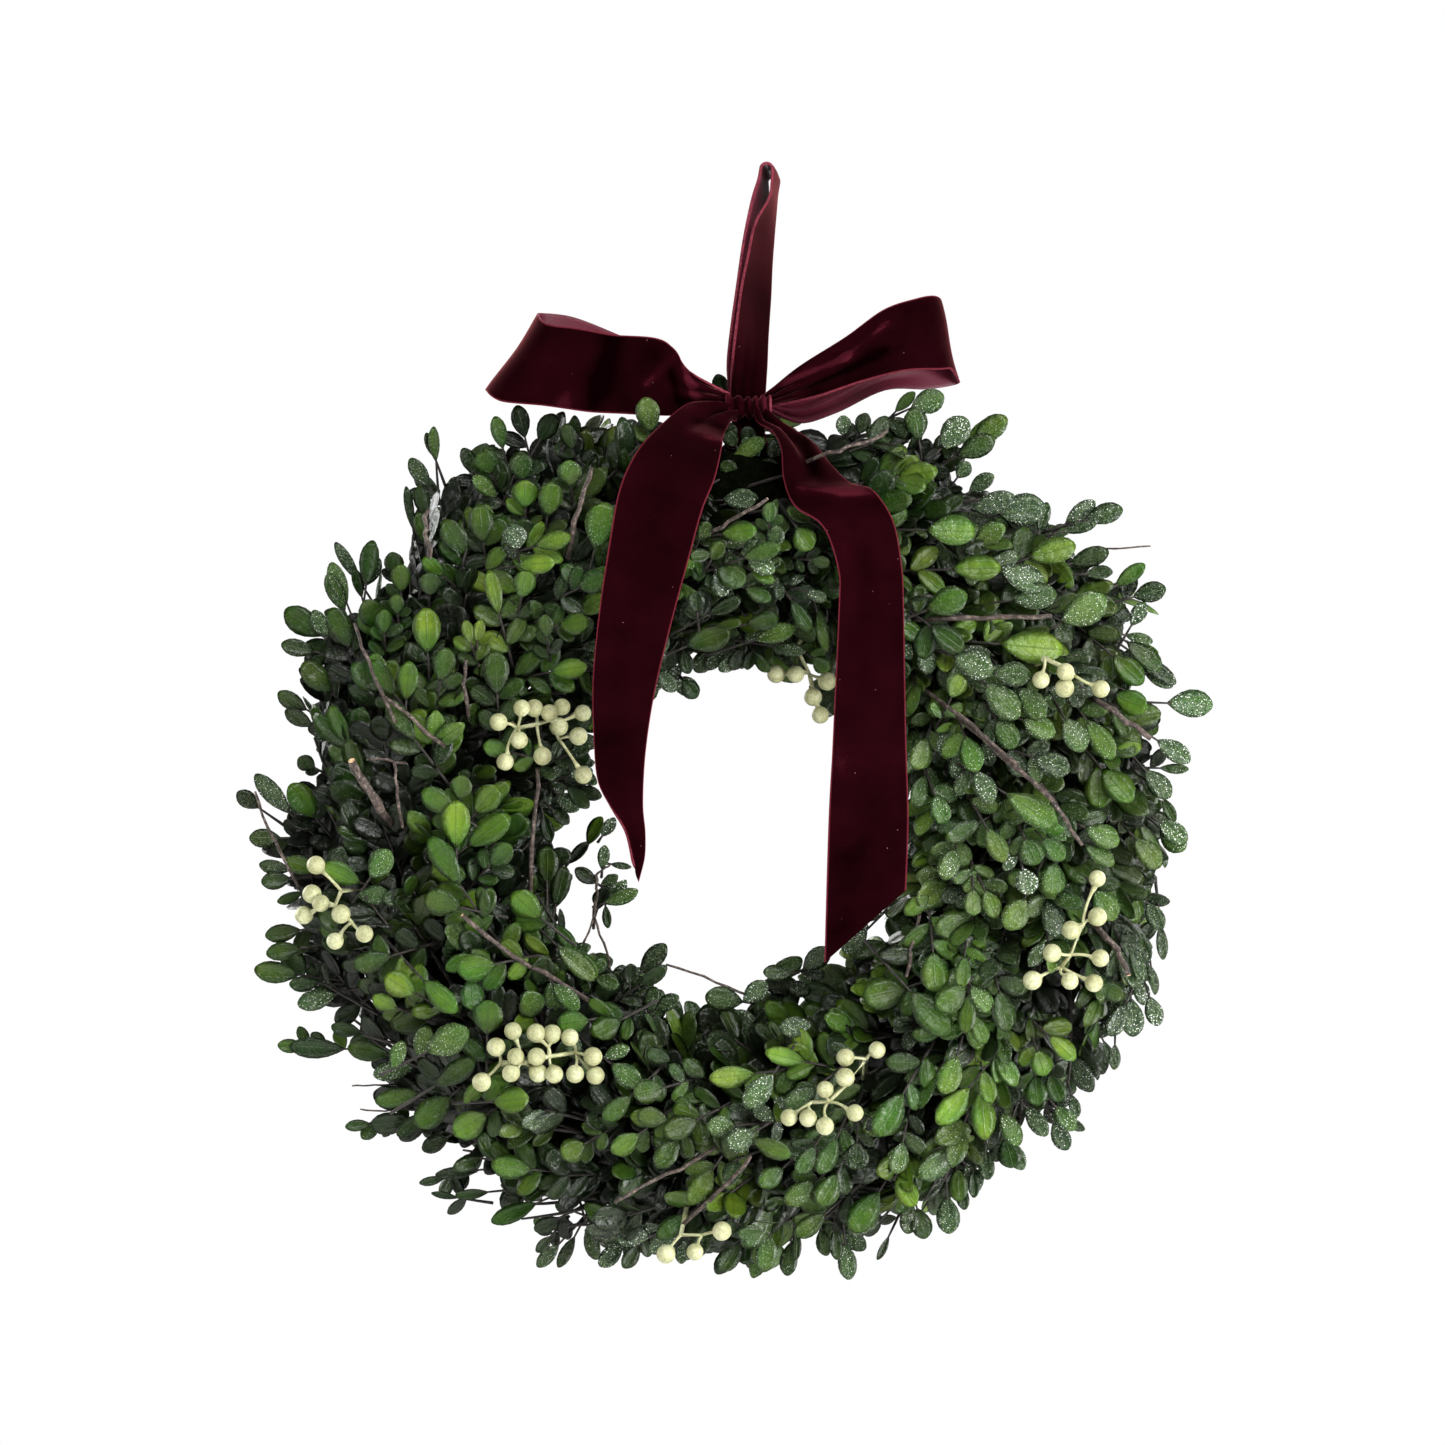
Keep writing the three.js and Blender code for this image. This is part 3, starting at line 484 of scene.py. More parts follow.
def shape_vertices(piece, move):
    """Puts each vertex of a piece where move says, from its own place, both in metres."""
    co = np.empty(3 * len(piece.data.vertices))
    piece.data.vertices.foreach_get("co", co)
    co = move(co.reshape(-1, 3))
    piece.data.vertices.foreach_set("co", co.ravel())
    piece.data.update()


def join_pieces(pieces, name):
    """Joins pieces into the first."""
    bpy.ops.object.select_all(action="DESELECT")
    for piece in pieces:
        piece.select_set(True)
    bpy.context.view_layer.objects.active = pieces[0]
    bpy.ops.object.join()
    joined = bpy.context.object
    joined.name = name
    bpy.ops.object.shade_smooth()
    bpy.ops.object.select_all(action="DESELECT")
    return joined


def twist_round_ring(start, turns, offset, ridge):
    """A move that lays a flat torus (major 1, minor 1 unit apart) round the wreath, wound
    about the ring's middle line at this offset, with ridges in its skin."""

    def move(co):
        """The places of the torus's points round the wreath."""
        angle = np.arctan2(co[:, 1], co[:, 0])
        out = np.hypot(co[:, 0], co[:, 1]) - 1
        up = co[:, 2]
        skin = 1 + ridge * np.sin(5 * np.arctan2(up, out) + 7 * np.sin(9 * angle + start))
        turn = start + turns * angle
        radius = RING_RADIUS + offset * np.cos(turn) + out / MM * skin
        y = RING_Y + offset * np.sin(turn) - up / MM * skin
        return MM * np.column_stack(
            [CENTRE_X + radius * np.cos(angle), y, CENTRE_Z + radius * np.sin(angle)]
        )

    return move


vines = []
for third in range(3):
    bpy.ops.mesh.primitive_torus_add(
        major_radius=1, minor_radius=VINE_RADIUS * MM, major_segments=220, minor_segments=16
    )
    vine = bpy.context.object
    shape_vertices(vine, twist_round_ring(2 * math.pi * third / 3, VINE_TWISTS, VINE_OFFSET, 0.07))
    vine.data.materials.append(vine_bark)
    vines.append(vine)
vine_ring = join_pieces(vines, "vine_ring_twist")
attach(vine_ring, "root")
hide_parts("vine_ring")

# Binding wire
# Florist's paddle wire, wound round the ring. It holds the stems of every bunch.
WIRE_TURNS = 12
WIRE_WINDING = 10.4
WIRE_RADIUS = 0.6

# The annealed wire is dull, with tarnish in patches of several millimetres.
wire_steel = grained_material(
    "annealed wire", [(0.35, "#4C4F4C"), (0.65, "#8C908C")], 120.0, detail=3.0, Metallic=1.0,
    Roughness=0.42,
)
bpy.ops.mesh.primitive_torus_add(
    major_radius=1, minor_radius=WIRE_RADIUS * MM, major_segments=480, minor_segments=8
)
wire = bpy.context.object
wire.name = "binding_wire_coil"
shape_vertices(wire, twist_round_ring(0, WIRE_TURNS, WIRE_WINDING, 0))
wire.data.materials.append(wire_steel)
bpy.ops.object.shade_smooth()
bpy.ops.object.select_all(action="DESELECT")
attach(wire, "root")
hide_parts("binding_wire")

# Berry sprays
# Moulded mistletoe berries on stiff stalks, coated in cream paint that is a little rough.
# Each spray is pushed into the foliage by its stem. Places: x, y and z of each berry.
BERRY_RADIUS = 4.35
STALK_RADIUS = 0.85
SPINE_BEHIND = 5
# The heart of the foliage: the radius and the y of its middle line.
HEART_RADIUS = 157
HEART_Y = -10
SPRAYS = {
    "upper_left": [
        (-130.3, -79.6, -276.0), (-119.4, -78.1, -269.4), (-113.9, -71.1, -269.4),
        (-106.6, -71.0, -271.7), (-101.1, -64.4, -268.8), (-91.1, -63.6, -271.7),
        (-102.7, -62.7, -278.2), (-120.7, -76.7, -284.6), (-93.4, -60.6, -282.8),
        (-110.0, -70.9, -292.3), (-91.1, -58.8, -301.5), (-127.7, -72.5, -295.0),
    ],
    "hole_top": [
        (1.9, -36.2, -252.6), (11.4, -38.8, -252.7), (20.0, -34.8, -263.8),
        (23.5, -36.8, -272.6), (26.7, -39.2, -256.2),
    ],
    "upper_right": [
        (125.7, -87.4, -256.2), (137.3, -86.9, -252.4), (137.2, -83.8, -260.0),
        (154.4, -83.2, -260.4),
    ],
    "left": [
        (-216.9, -78.3, -343.8), (-219.1, -76.3, -357.6), (-214.5, -79.6, -361.8),
        (-223.4, -72.2, -367.9), (-204.5, -82.7, -366.7), (-207.6, -80.2, -379.7),
        (-193.3, -83.6, -376.0),
    ],
    "right": [
        (152.8, -82.6, -350.0), (152.9, -82.9, -368.0), (139.9, -87.3, -374.0),
        (130.9, -87.8, -384.8), (154.1, -83.8, -387.5), (151.3, -82.3, -399.4),
        (139.5, -85.9, -398.1), (121.9, -85.0, -397.9),
    ],
    "lower_left": [
        (-123.1, -84.7, -421.8), (-130.9, -87.1, -429.1), (-121.6, -88.4, -433.4),
        (-123.8, -87.6, -441.3), (-137.9, -84.8, -445.9), (-112.5, -82.0, -423.0),
        (-105.0, -79.4, -423.7), (-111.8, -87.8, -433.6), (-111.2, -84.9, -441.6),
        (-103.6, -86.4, -442.0), (-93.9, -83.5, -442.2), (-96.5, -80.0, -425.3),
        (-85.6, -80.5, -434.3), (-84.5, -78.7, -443.4),
    ],
    "lower_right": [
        (33.9, -78.9, -434.9), (48.9, -79.7, -431.3), (33.7, -83.0, -443.9),
        (24.2, -83.6, -449.5), (38.2, -86.4, -460.2), (16.1, -85.1, -462.8),
        (24.0, -86.5, -466.4), (7.1, -82.4, -462.9),
    ],
    "bottom": [(-51.1, -76.3, -528.5), (-37.3, -77.9, -527.2), (-24.5, -83.2, -516.4)],
}
# Where the stalks of each spray branch off: x and z, in the order that its spine runs.
SPINES = {
    "upper_left": [(-122, -279), (-113, -277), (-106, -275), (-103, -284)],
    "hole_top": [(12, -240), (18, -252)], "upper_right": [(128, -246), (137, -250), (142, -254)],
    "left": [(-205, -356), (-208, -363), (-200, -371)], "right": [(146, -372), (140, -386), (136, -392)],
    "lower_left": [(-129, -437), (-118, -437), (-106, -434), (-94, -433)],
    "lower_right": [(44, -436), (34, -448), (26, -456), (18, -456)], "bottom": [(-44, -520), (-34, -520)],
}

berry_paint, tree, shader = new_material(
    "cream berry paint", Roughness=0.5, Subsurface_Weight=0.05, Subsurface_Scale=0.002
)
place = add_node(tree, "TexCoord")
# The paint has a fine grain of about half a millimetre, with darker dust in its hollows.
grain = add_node(tree, "TexNoise", Vector=place.outputs["Object"], Scale=900.0, Detail=3.0)
blotches = add_node(tree, "TexNoise", Vector=place.outputs["Object"], Scale=140.0)
cream = [(0.3, "#94946C"), (0.5, "#A6A87F"), (0.7, "#B8BA96")]
cream = add_node(tree, "ValToRGB", stops=cream, Fac=blotches)
hollows = add_node(tree, "ValToRGB", stops=[(0.38, "#8E8866"), (0.55, "#FFFFFF")], Fac=grain)
dusty = add_node(tree, "Mix", data_type="RGBA", blend_type="MULTIPLY", _0=0.35, _6=cream, _7=hollows)
pores = add_node(tree, "Bump", Height=grain, Strength=0.25, Distance=0.0003)
set_inputs(tree, shader, Base_Color=dusty, Normal=pores)

# One berry, with the small pit that a mistletoe berry has at its far end (+Z here).
bpy.ops.mesh.primitive_uv_sphere_add(segments=20, ring_count=14, radius=1)
berry_master = bpy.context.object


def pit_the_end(co):
    """Sinks a pit into one end of a berry, and draws the other towards its stalk."""
    off_axis = np.hypot(co[:, 0], co[:, 1])
    pit = 0.08 * np.exp(-((off_axis / 0.16) ** 2)) * (co[:, 2] > 0)
    neck = 0.1 * np.exp(-((off_axis / 0.35) ** 2)) * (co[:, 2] < 0)
    return co - np.column_stack([0 * pit, 0 * pit, pit + neck])


shape_vertices(berry_master, pit_the_end)
berry_points = np.array([v.co for v in berry_master.data.vertices])
berry_faces = [tuple(p.vertices) for p in berry_master.data.polygons]
bpy.data.objects.remove(berry_master)


def stem_tube(points, radii, sides):
    """Rings of points and faces of a round stem along a path, closed at its ends."""
    points = np.asarray(points, float)
    along = np.gradient(points, axis=0)
    along /= np.linalg.norm(along, axis=1)[:, None]
    ahead = np.where(np.abs(along[:, 1:2]) > 0.9, [[1.0, 0, 0]], [[0, 1.0, 0]])
    side = np.cross(ahead, along)
    side /= np.linalg.norm(side, axis=1)[:, None]
    up = np.cross(along, side)
    turn = 2 * math.pi * np.arange(sides) / sides
    ring = side[:, None] * np.cos(turn)[None, :, None] + up[:, None] * np.sin(turn)[None, :, None]
    rings = points[:, None] + np.asarray(radii, float)[:, None, None] * ring
    faces = []
    for i in range(len(points) - 1):
        for j in range(sides):
            k = (j + 1) % sides
            a, b = i * sides, (i + 1) * sides
            faces.append((a + j, a + k, b + k, b + j))
    faces.append(tuple(range(sides))[::-1])
    faces.append(tuple(range((len(points) - 1) * sides, len(points) * sides)))
    return rings.reshape(-1, 3), faces


def bend(start, end, sag, count):
    """Points on a bow from start to end, its middle moved by sag."""
    t = np.linspace(0, 1, count)[:, None]
    start, end, sag = (np.asarray(p, float) for p in (start, end, sag))
    return start * (1 - t) + end * t + sag * 4 * t * (1 - t)


def turn_onto(direction):
    """Three axes as rows, the last along the direction."""
    z = np.asarray(direction, float) / np.linalg.norm(direction)
    x = np.cross([0.0, 1.0, 0.0] if abs(z[1]) < 0.9 else [1.0, 0, 0], z)
    x /= np.linalg.norm(x)
    return np.array([x, np.cross(z, x), z])


def on_wreath(radius, angle, y):
    """The place at a radius and angle round the wreath's centre, at a depth."""
    return np.array([CENTRE_X + radius * math.cos(angle), y, CENTRE_Z + radius * math.sin(angle)])


def new_piece(name, points, faces, materials):
    """A new object of points (mm), faces and materials."""
    mesh = bpy.data.meshes.new(name)
    mesh.from_pydata((np.vstack(points) * MM).tolist(), [], faces)
    for material in materials:
        mesh.materials.append(material)
    piece = bpy.data.objects.new(name, mesh)
    bpy.context.collection.objects.link(piece)
    return piece


berry_places = []
for name, berries in SPRAYS.items():
    rng = np.random.default_rng(sum(map(ord, name)))
    points, faces = [], []

    def put(new_points, new_faces):
        """Adds a berry or a stalk to the spray."""
        shift = sum(len(p) for p in points)
        points.append(np.asarray(new_points))
        faces.extend(tuple(i + shift for i in face) for face in new_faces)

    berries = np.array(berries)
    spine = np.array(SPINES[name], float)
    depth = [
        berries[np.argmin(np.hypot(berries[:, 0] - x, berries[:, 2] - z)), 1] + SPINE_BEHIND
        for x, z in spine
    ]
    spine = np.column_stack([spine[:, 0], depth, spine[:, 1]])
    middle = spine.mean(axis=0)
    heart = on_wreath(HEART_RADIUS, math.atan2(middle[2] - CENTRE_Z, middle[0] - CENTRE_X), HEART_Y)
    root = spine[0] + (heart - spine[0]) * 0.6
    thick = np.linspace(1.5, 1.1, len(spine) + 1) * STALK_RADIUS
    put(*stem_tube(np.vstack([root, spine]), thick, 8))
    for berry in berries:
        node = spine[np.argmin(np.linalg.norm(spine - berry, axis=1))]
        reach = np.linalg.norm(berry - node)
        stop = node + (berry - node) * (1 - 0.8 * BERRY_RADIUS / reach)
        stalk = bend(node, stop, rng.normal(0, 0.7, 3), 6)
        swell = STALK_RADIUS * np.array([1.0, 0.9, 0.85, 0.85, 1.0, 1.9])
        put(*stem_tube(stalk, swell, 7))
        axes = turn_onto(berry - node)
        size = BERRY_RADIUS * rng.uniform(0.92, 1.06)
        put(berry + size * berry_points @ axes, berry_faces)
        berry_places.append(berry)
    spray = new_piece("berries_" + name, points, faces, [berry_paint])
    spray.data.polygons.foreach_set("use_smooth", [True] * len(faces))
    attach(spray, "root")
    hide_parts("berry_spray_" + name)

# Foliage
# Twigs of preserved small-leaved evergreen, dusted with fine silver glitter. Oval leaves sit on
# them in pairs. The twigs fan out from packed stems and all lean clockwise.
HOLE_RADIUS = 82
BUNCHES = 12
BUNCH_WIDTH = 2 * math.pi / BUNCHES
# How far the leaves reach from the ring's centre, every 10 degrees, from the right upwards.
OUTLINE = [
    222, 229, 231, 236, 238, 222, 238, 237, 230, 221, 220, 226, 232, 234, 228, 233, 231, 218,
    236, 233, 228, 216, 217, 224, 219, 220, 210, 211, 212, 215, 215, 213, 218, 223, 221, 221,
]
FRONT_REACH = 70
BACK_FACE_Y = 26
BACK_REACH = BACK_FACE_Y - HEART_Y + 12
CORE_HALF_WIDTH = 34
CORE_HALF_DEPTH = 26
# The channel at the back of the core, in which the ring and its wire lie.
CHANNEL_HALF_WIDTH = 14
CHANNEL_DEPTH = 12
TWIGS_PER_BUNCH = 64
STEMS_PER_BUNCH = 16
LEAF_LENGTHS = (16.5, 22.5)
LEAF_SPACING = 8.5
TWIG_STOPS_SHORT = 16
# Steps of the golden section spread places evenly, and never repeat.
GOLDEN = 0.618


def glitter(tree, place, amount):
    """A mask of glitter flakes, some duller than others, strewn in patches of about 15 mm.
    They are drawn up to 0.8 mm across, coarser than real ones, so that they show."""
    cells = add_node(tree, "TexVoronoi", Vector=place.outputs["Object"], Scale=900.0)
    strewn = add_node(tree, "TexNoise", Vector=place.outputs["Object"], Scale=65.0, Detail=2.0)
    patchy = add_node(tree, "MapRange", Value=strewn, _1=0.3, _2=0.7, _3=0.14, _4=0.33)
    size = add_node(tree, "Math", operation="ADD", _0=amount, _1=0.14)
    size = add_node(tree, "Math", operation="MULTIPLY", _0=size, _1=patchy)
    inside = add_node(tree, "Math", operation="SUBTRACT", _0=size, _1=cells)
    shown = add_node(tree, "MapRange", Value=inside, _1=-0.02, _2=0.05)
    turned = add_node(tree, "SeparateColor", Color=cells.outputs["Color"])
    gleam = add_node(tree, "MapRange", Value=turned, _3=0.3)
    return add_node(tree, "Math", operation="MULTIPLY", _0=shown, _1=gleam)


leaf_materials = []
UPPER_GREENS = [(0.0, "#040A04"), (0.3, "#112207"), (0.55, "#253C0A"), (0.8, "#3C560F"), (1.0, "#5A761B")]
UNDER_GREENS = [(0.0, "#0E180D"), (0.5, "#243616"), (1.0, "#4A5E28")]
for side_name, greens, rib_colour, gloss in (
    ("leaf upper side", UPPER_GREENS, "#2A3D16", 0.3), ("leaf underside", UNDER_GREENS, "#7A9048", 0.55),
):
    leaf_material, tree, shader = new_material(side_name, Specular_IOR_Level=0.25)
    place = add_node(tree, "TexCoord")
    tint = add_node(tree, "Attribute", attribute_name="leaf_tint")
    greenness, frost, depth = add_node(tree, "SeparateColor", Color=tint).outputs
    mottle = add_node(tree, "TexNoise", Vector=place.outputs["Object"], Scale=180.0, Detail=3.0)
    shade = add_node(tree, "Math", operation="MULTIPLY_ADD", _0=mottle, _1=0.24, _2=greenness)
    # Painted shade: the blade is painted darker towards its rim and its stalk.
    along, across, _ = add_node(tree, "SeparateXYZ", Vector=place.outputs["UV"]).outputs
    off_rib = add_node(tree, "Math", operation="SUBTRACT", _0=across, _1=0.5)
    off_rib = add_node(tree, "Math", operation="ABSOLUTE", _0=off_rib)
    rim_shade_and_dust = add_node(tree, "MapRange", Value=off_rib, _1=0.15, _2=0.5, _4=0.2)
    painted_stalk_shade = add_node(tree, "MapRange", Value=along, _2=0.5, _3=0.16, _4=0.0)
    for darker in (0.12, rim_shade_and_dust, painted_stalk_shade):
        shade = add_node(tree, "Math", operation="SUBTRACT", _0=shade, _1=darker)
    green = add_node(tree, "ValToRGB", stops=greens, Fac=shade)
    # Some twigs are yellower than others, and some bluer.
    region = add_node(tree, "TexNoise", Vector=place.outputs["Object"], Scale=32.0)
    hue = add_node(tree, "MapRange", Value=region, _1=0.3, _2=0.7, _3=0.475, _4=0.53)
    colour = add_node(tree, "HueSaturation", Hue=hue, Color=green)
    # The midrib and the side veins, about 2 mm apart: dark furrows above, pale ribs below.
    rib = add_node(tree, "MapRange", Value=off_rib, _1=0.008, _2=0.035, _3=0.5, _4=0.0)
    slant = add_node(tree, "Math", operation="MULTIPLY_ADD", _0=off_rib, _1=-0.7, _2=along)
    veins = add_node(tree, "Math", operation="MULTIPLY", _0=slant, _1=9.0)
    veins = add_node(tree, "Math", operation="PINGPONG", _0=veins, _1=0.5)
    veins = add_node(tree, "MapRange", Value=veins, _2=0.12, _3=0.12, _4=0.0)
    ribs = add_node(tree, "Math", operation="MAXIMUM", _0=rib, _1=veins)
    # Glitter too fine to draw lies on the frostiest leaves as a grey veil.
    veil = add_node(tree, "MapRange", Value=frost, _1=0.35, _4=0.24)
    # Finer dust gives the blade a grain of under a millimetre, most along its rim.
    grain = add_node(
        tree, "TexNoise", Vector=place.outputs["Object"], Scale=1000.0, Detail=3.0, Roughness=0.7
    )
    grain = add_node(tree, "MapRange", Value=grain, _1=0.48, _2=0.74)
    held = add_node(tree, "Math", operation="MULTIPLY_ADD", _0=frost, _1=0.42, _2=0.02)
    held = add_node(tree, "Math", operation="MULTIPLY_ADD", _0=rim_shade_and_dust, _1=0.5, _2=held)
    dust = add_node(tree, "Math", operation="MULTIPLY", _0=held, _1=grain)
    flakes = glitter(tree, place, frost)
    # Each of these lies over the last. Leaves deep among the twigs are painted darker, as painted shade.
    for share, laid_on in (
        (ribs, rib_colour), (veil, "#4C6650"), (dust, "#A4B884"), (flakes, "#F2F6EE"), (depth, "#040803"),
    ):
        colour = add_node(tree, "Mix", data_type="RGBA", _0=share, _6=colour, _7=laid_on)
    rough = add_node(tree, "MapRange", Value=flakes, _3=gloss, _4=0.2)
    relief = add_node(tree, "Math", operation="SUBTRACT", _0=flakes, _1=ribs)
    relief = add_node(tree, "Math", operation="MULTIPLY_ADD", _0=mottle, _1=5.0, _2=relief)
    raised = add_node(tree, "Bump", Height=relief, Strength=0.6, Distance=0.0004)
    set_inputs(tree, shader, Base_Color=colour, Roughness=rough, Normal=raised)
    leaf_materials.append(leaf_material)

twig_bark, tree, shader = new_material("twig bark", Roughness=0.75)
place = add_node(tree, "TexCoord")
scaly = add_node(tree, "TexNoise", Vector=place.outputs["Object"], Scale=420.0, Detail=4.0)
colour = [(0.3, "#1E1613"), (0.5, "#392D27"), (0.72, "#70625A")]
colour = add_node(tree, "ValToRGB", stops=colour, Fac=scaly)
flakes = glitter(tree, place, 0.45)
# Thin twigs that bear leaves are darker than the bare ones.
tint = add_node(tree, "Attribute", attribute_name="leaf_tint")
thin = add_node(tree, "SeparateColor", Color=tint).outputs["Blue"]
for share, laid_on in ((flakes, "#C4C0C4"), (thin, "#0C0A07")):
    colour = add_node(tree, "Mix", data_type="RGBA", _0=share, _6=colour, _7=laid_on)
scales = add_node(tree, "Bump", Height=scaly, Strength=0.7, Distance=0.0006)
set_inputs(tree, shader, Base_Color=colour, Normal=scales)

cut_wood = grained_material("cut wood", [(0.35, "#A67C52"), (0.65, "#E2C49A")], 700.0, Roughness=0.8)
# Painted shade: the packed stems of the core are painted almost black, as the shade deep inside the bunch.
shade_dark_packed_stems = grained_material(
    "packed stems painted as shade", [(0.35, "#030502"), (0.55, "#080B05"), (0.75, "#16110B")], 220.0,
    detail=5.0, roughness=0.65, bump=(1.0, 0.003), Roughness=1.0, Specular_IOR_Level=0.0,
)

# One leaf, as a closed blade: x runs 0 to 1 along it, y -1 to 1 across, z is 1 on the lower
# skin and 0 elsewhere. The two skins share their rim. Each row of points across the blade has
# its place along it, its half width, and how far back its ends lie.
LEAF_ROWS = [0, 0.12, 0.28, 0.47, 0.67, 0.86, 1.0]
LEAF_WIDTHS = [0.06, 0.43, 0.78, 0.98, 0.98, 0.82, 0.52]
LEAF_SWEEP = [0, 0, 0, 0.01, 0.03, 0.06, 0.085]
LEAF_THICKNESS = 0.4
last_row = len(LEAF_ROWS) - 1
bpy.ops.mesh.primitive_grid_add(x_subdivisions=last_row, y_subdivisions=4, size=1)
leaf_master = bpy.context.object
bpy.ops.object.mode_set(mode="EDIT")
bpy.ops.mesh.select_all(action="SELECT")
bpy.ops.mesh.duplicate()
bpy.ops.mesh.flip_normals()
bpy.ops.object.mode_set(mode="OBJECT")
for vertex in leaf_master.data.vertices:
    on_rim = max(abs(vertex.co.x), abs(vertex.co.y)) > 0.499
    vertex.co.z = 1.0 if vertex.select and not on_rim else 0.0
merge_doubles(0.001)
leaf_grid = np.array([v.co for v in leaf_master.data.vertices])
leaf_faces = np.array([tuple(p.vertices) for p in leaf_master.data.polygons])
leaf_under = np.array([max(leaf_grid[list(f), 2]) > 0.5 for f in leaf_faces])
bpy.data.objects.remove(leaf_master)
leaf_row = np.rint((leaf_grid[:, 0] + 0.5) * last_row).astype(int)
leaf_t = 2 * leaf_grid[:, 1]
leaf_s = np.array(LEAF_ROWS)[leaf_row] - np.array(LEAF_SWEEP)[leaf_row] * leaf_t**2
leaf_width = np.array(LEAF_WIDTHS)[leaf_row]
leaf_lower = leaf_grid[:, 2]


def leaf_shapes(leaves):
    """Places of all the points of many leaves (mm). Each leaf is a row: base, forward, up
    (three numbers each), length, half width, cup, droop, and below 1 a broader tip."""
    base, forward, up = leaves[:, 0:3], leaves[:, 3:6], leaves[:, 6:9]
    length, half, cup, droop, taper = (leaves[:, k, None] for k in range(9, 14))
    side = np.cross(forward, up)
    side /= np.linalg.norm(side, axis=1)[:, None]
    up = np.cross(side, forward)
    s, t, lower = leaf_s[None] ** taper, leaf_t[None], leaf_lower[None]
    width = leaf_width[None]
    along = length * s
    across = half * t * width
    lift = cup * np.abs(t) ** 1.4 * width - droop * length * s**2 - LEAF_THICKNESS * lower
    return (
        base[:, None]
        + forward[:, None] * along[..., None]
        + side[:, None] * across[..., None]
        + up[:, None] * lift[..., None]
    )


def bearing_direction(angle, bearing):
    """The direction of a bearing round the heart: 0 is outwards, 90 degrees to the front."""
    out = np.array([math.cos(angle), 0, math.sin(angle)]) * math.cos(bearing)
    return out + np.array([0, -math.sin(bearing), 0])


def oval_reach(bearing, wide, deep):
    """The reach of an oval of these half sizes on a bearing."""
    return 1 / math.hypot(math.cos(bearing) / wide, math.sin(bearing) / deep)


def outline_at(angle):
    """The outline's reach at an angle or at many, in radians."""
    degrees = np.degrees(angle) % 360
    return np.interp(degrees, np.arange(0, 370, 10), OUTLINE + OUTLINE[:1])


def surface_share(points):
    """How far out points (rows) lie in the foliage: 0 in its heart and 1 on its surface."""
    away = points[:, [0, 2]] - [CENTRE_X, CENTRE_Z]
    out = np.hypot(away[:, 0], away[:, 1]) - HEART_RADIUS
    front = HEART_Y - points[:, 1]
    outer = outline_at(np.arctan2(away[:, 1], away[:, 0])) - HEART_RADIUS
    wide = np.where(out > 0, outer, HEART_RADIUS - HOLE_RADIUS)
    deep = np.where(front > 0, FRONT_REACH, BACK_REACH)
    return np.hypot(out / wide, front / deep)


def foliage_reach(bearing, angle):
    """How far the leaves reach from the heart on a bearing, at an angle round the wreath."""
    outer = outline_at(angle) - HEART_RADIUS
    wide = outer if math.cos(bearing) > 0 else HEART_RADIUS - HOLE_RADIUS
    deep = FRONT_REACH if math.sin(bearing) > 0 else BACK_REACH
    return oval_reach(bearing, wide, deep)


# What the leaves keep clear of, as seen from the front: a grid of cells, each with the y as far
# back as the bow or the berries cover it. Near the hanging ribbon they keep this far from it.
CELL = 1.5
ORIGIN = np.array([-300.0, -640.0])
OPEN_ALL_THROUGH, SHUT_ALL_THROUGH = -1000.0, 1000.0
LEAF_CLEARANCE = 2.5
RIBBON_COVER, BERRY_COVER = 2.0, 4.5
covered_back = np.full((400, 460), OPEN_ALL_THROUGH)


def cover(place, reach):
    """Marks the cells within reach of a point as covered as far back as the point."""
    ix, iz = ((place[[0, 2]] - ORIGIN) / CELL).astype(int)
    n = int(reach / CELL)
    patch = covered_back[ix - n : ix + n + 1, iz - n : iz + n + 1]
    np.maximum(patch, place[1], out=patch)


strap_points = ribbon_surfaces.pop("hanging_ribbon_velvet")
for place_mm in np.vstack(list(ribbon_surfaces.values())):
    cover(place_mm, RIBBON_COVER)
for place_mm in berry_places:
    cover(place_mm, BERRY_COVER)
strap_tree = KDTree(len(strap_points))
for i, place_mm in enumerate(strap_points):
    strap_tree.insert(place_mm, i)
strap_tree.balance()


def clear_of_bow(points):
    """Which leaves (rows of points) are clear of the bow, the berries and the strap."""
    flat = points.reshape(-1, 3)
    cells = ((flat[:, [0, 2]] - ORIGIN) / CELL).astype(int)
    behind = flat[:, 1] > covered_back[cells[:, 0], cells[:, 1]] + LEAF_CLEARANCE
    clear = behind.reshape(points.shape[:2]).all(axis=1)
    near_strap = (abs(flat[:, 0] - KNOT_X) < 30) & (flat[:, 2] > RING_TOP - 25)
    for i in np.nonzero(near_strap)[0]:
        leaf = i // points.shape[1]
        if clear[leaf] and strap_tree.find(flat[i])[2] < LEAF_CLEARANCE:
            clear[leaf] = False
    return clear


# Painted shade: leaves are painted darker inwards from this share of the way out, over this share, down to
# this much. Their glitter is painted duller with it.
DARK_FROM, DARK_OVER, DARKEST, GLITTER_DULLED = 0.91, 0.32, 0.94, 0.6


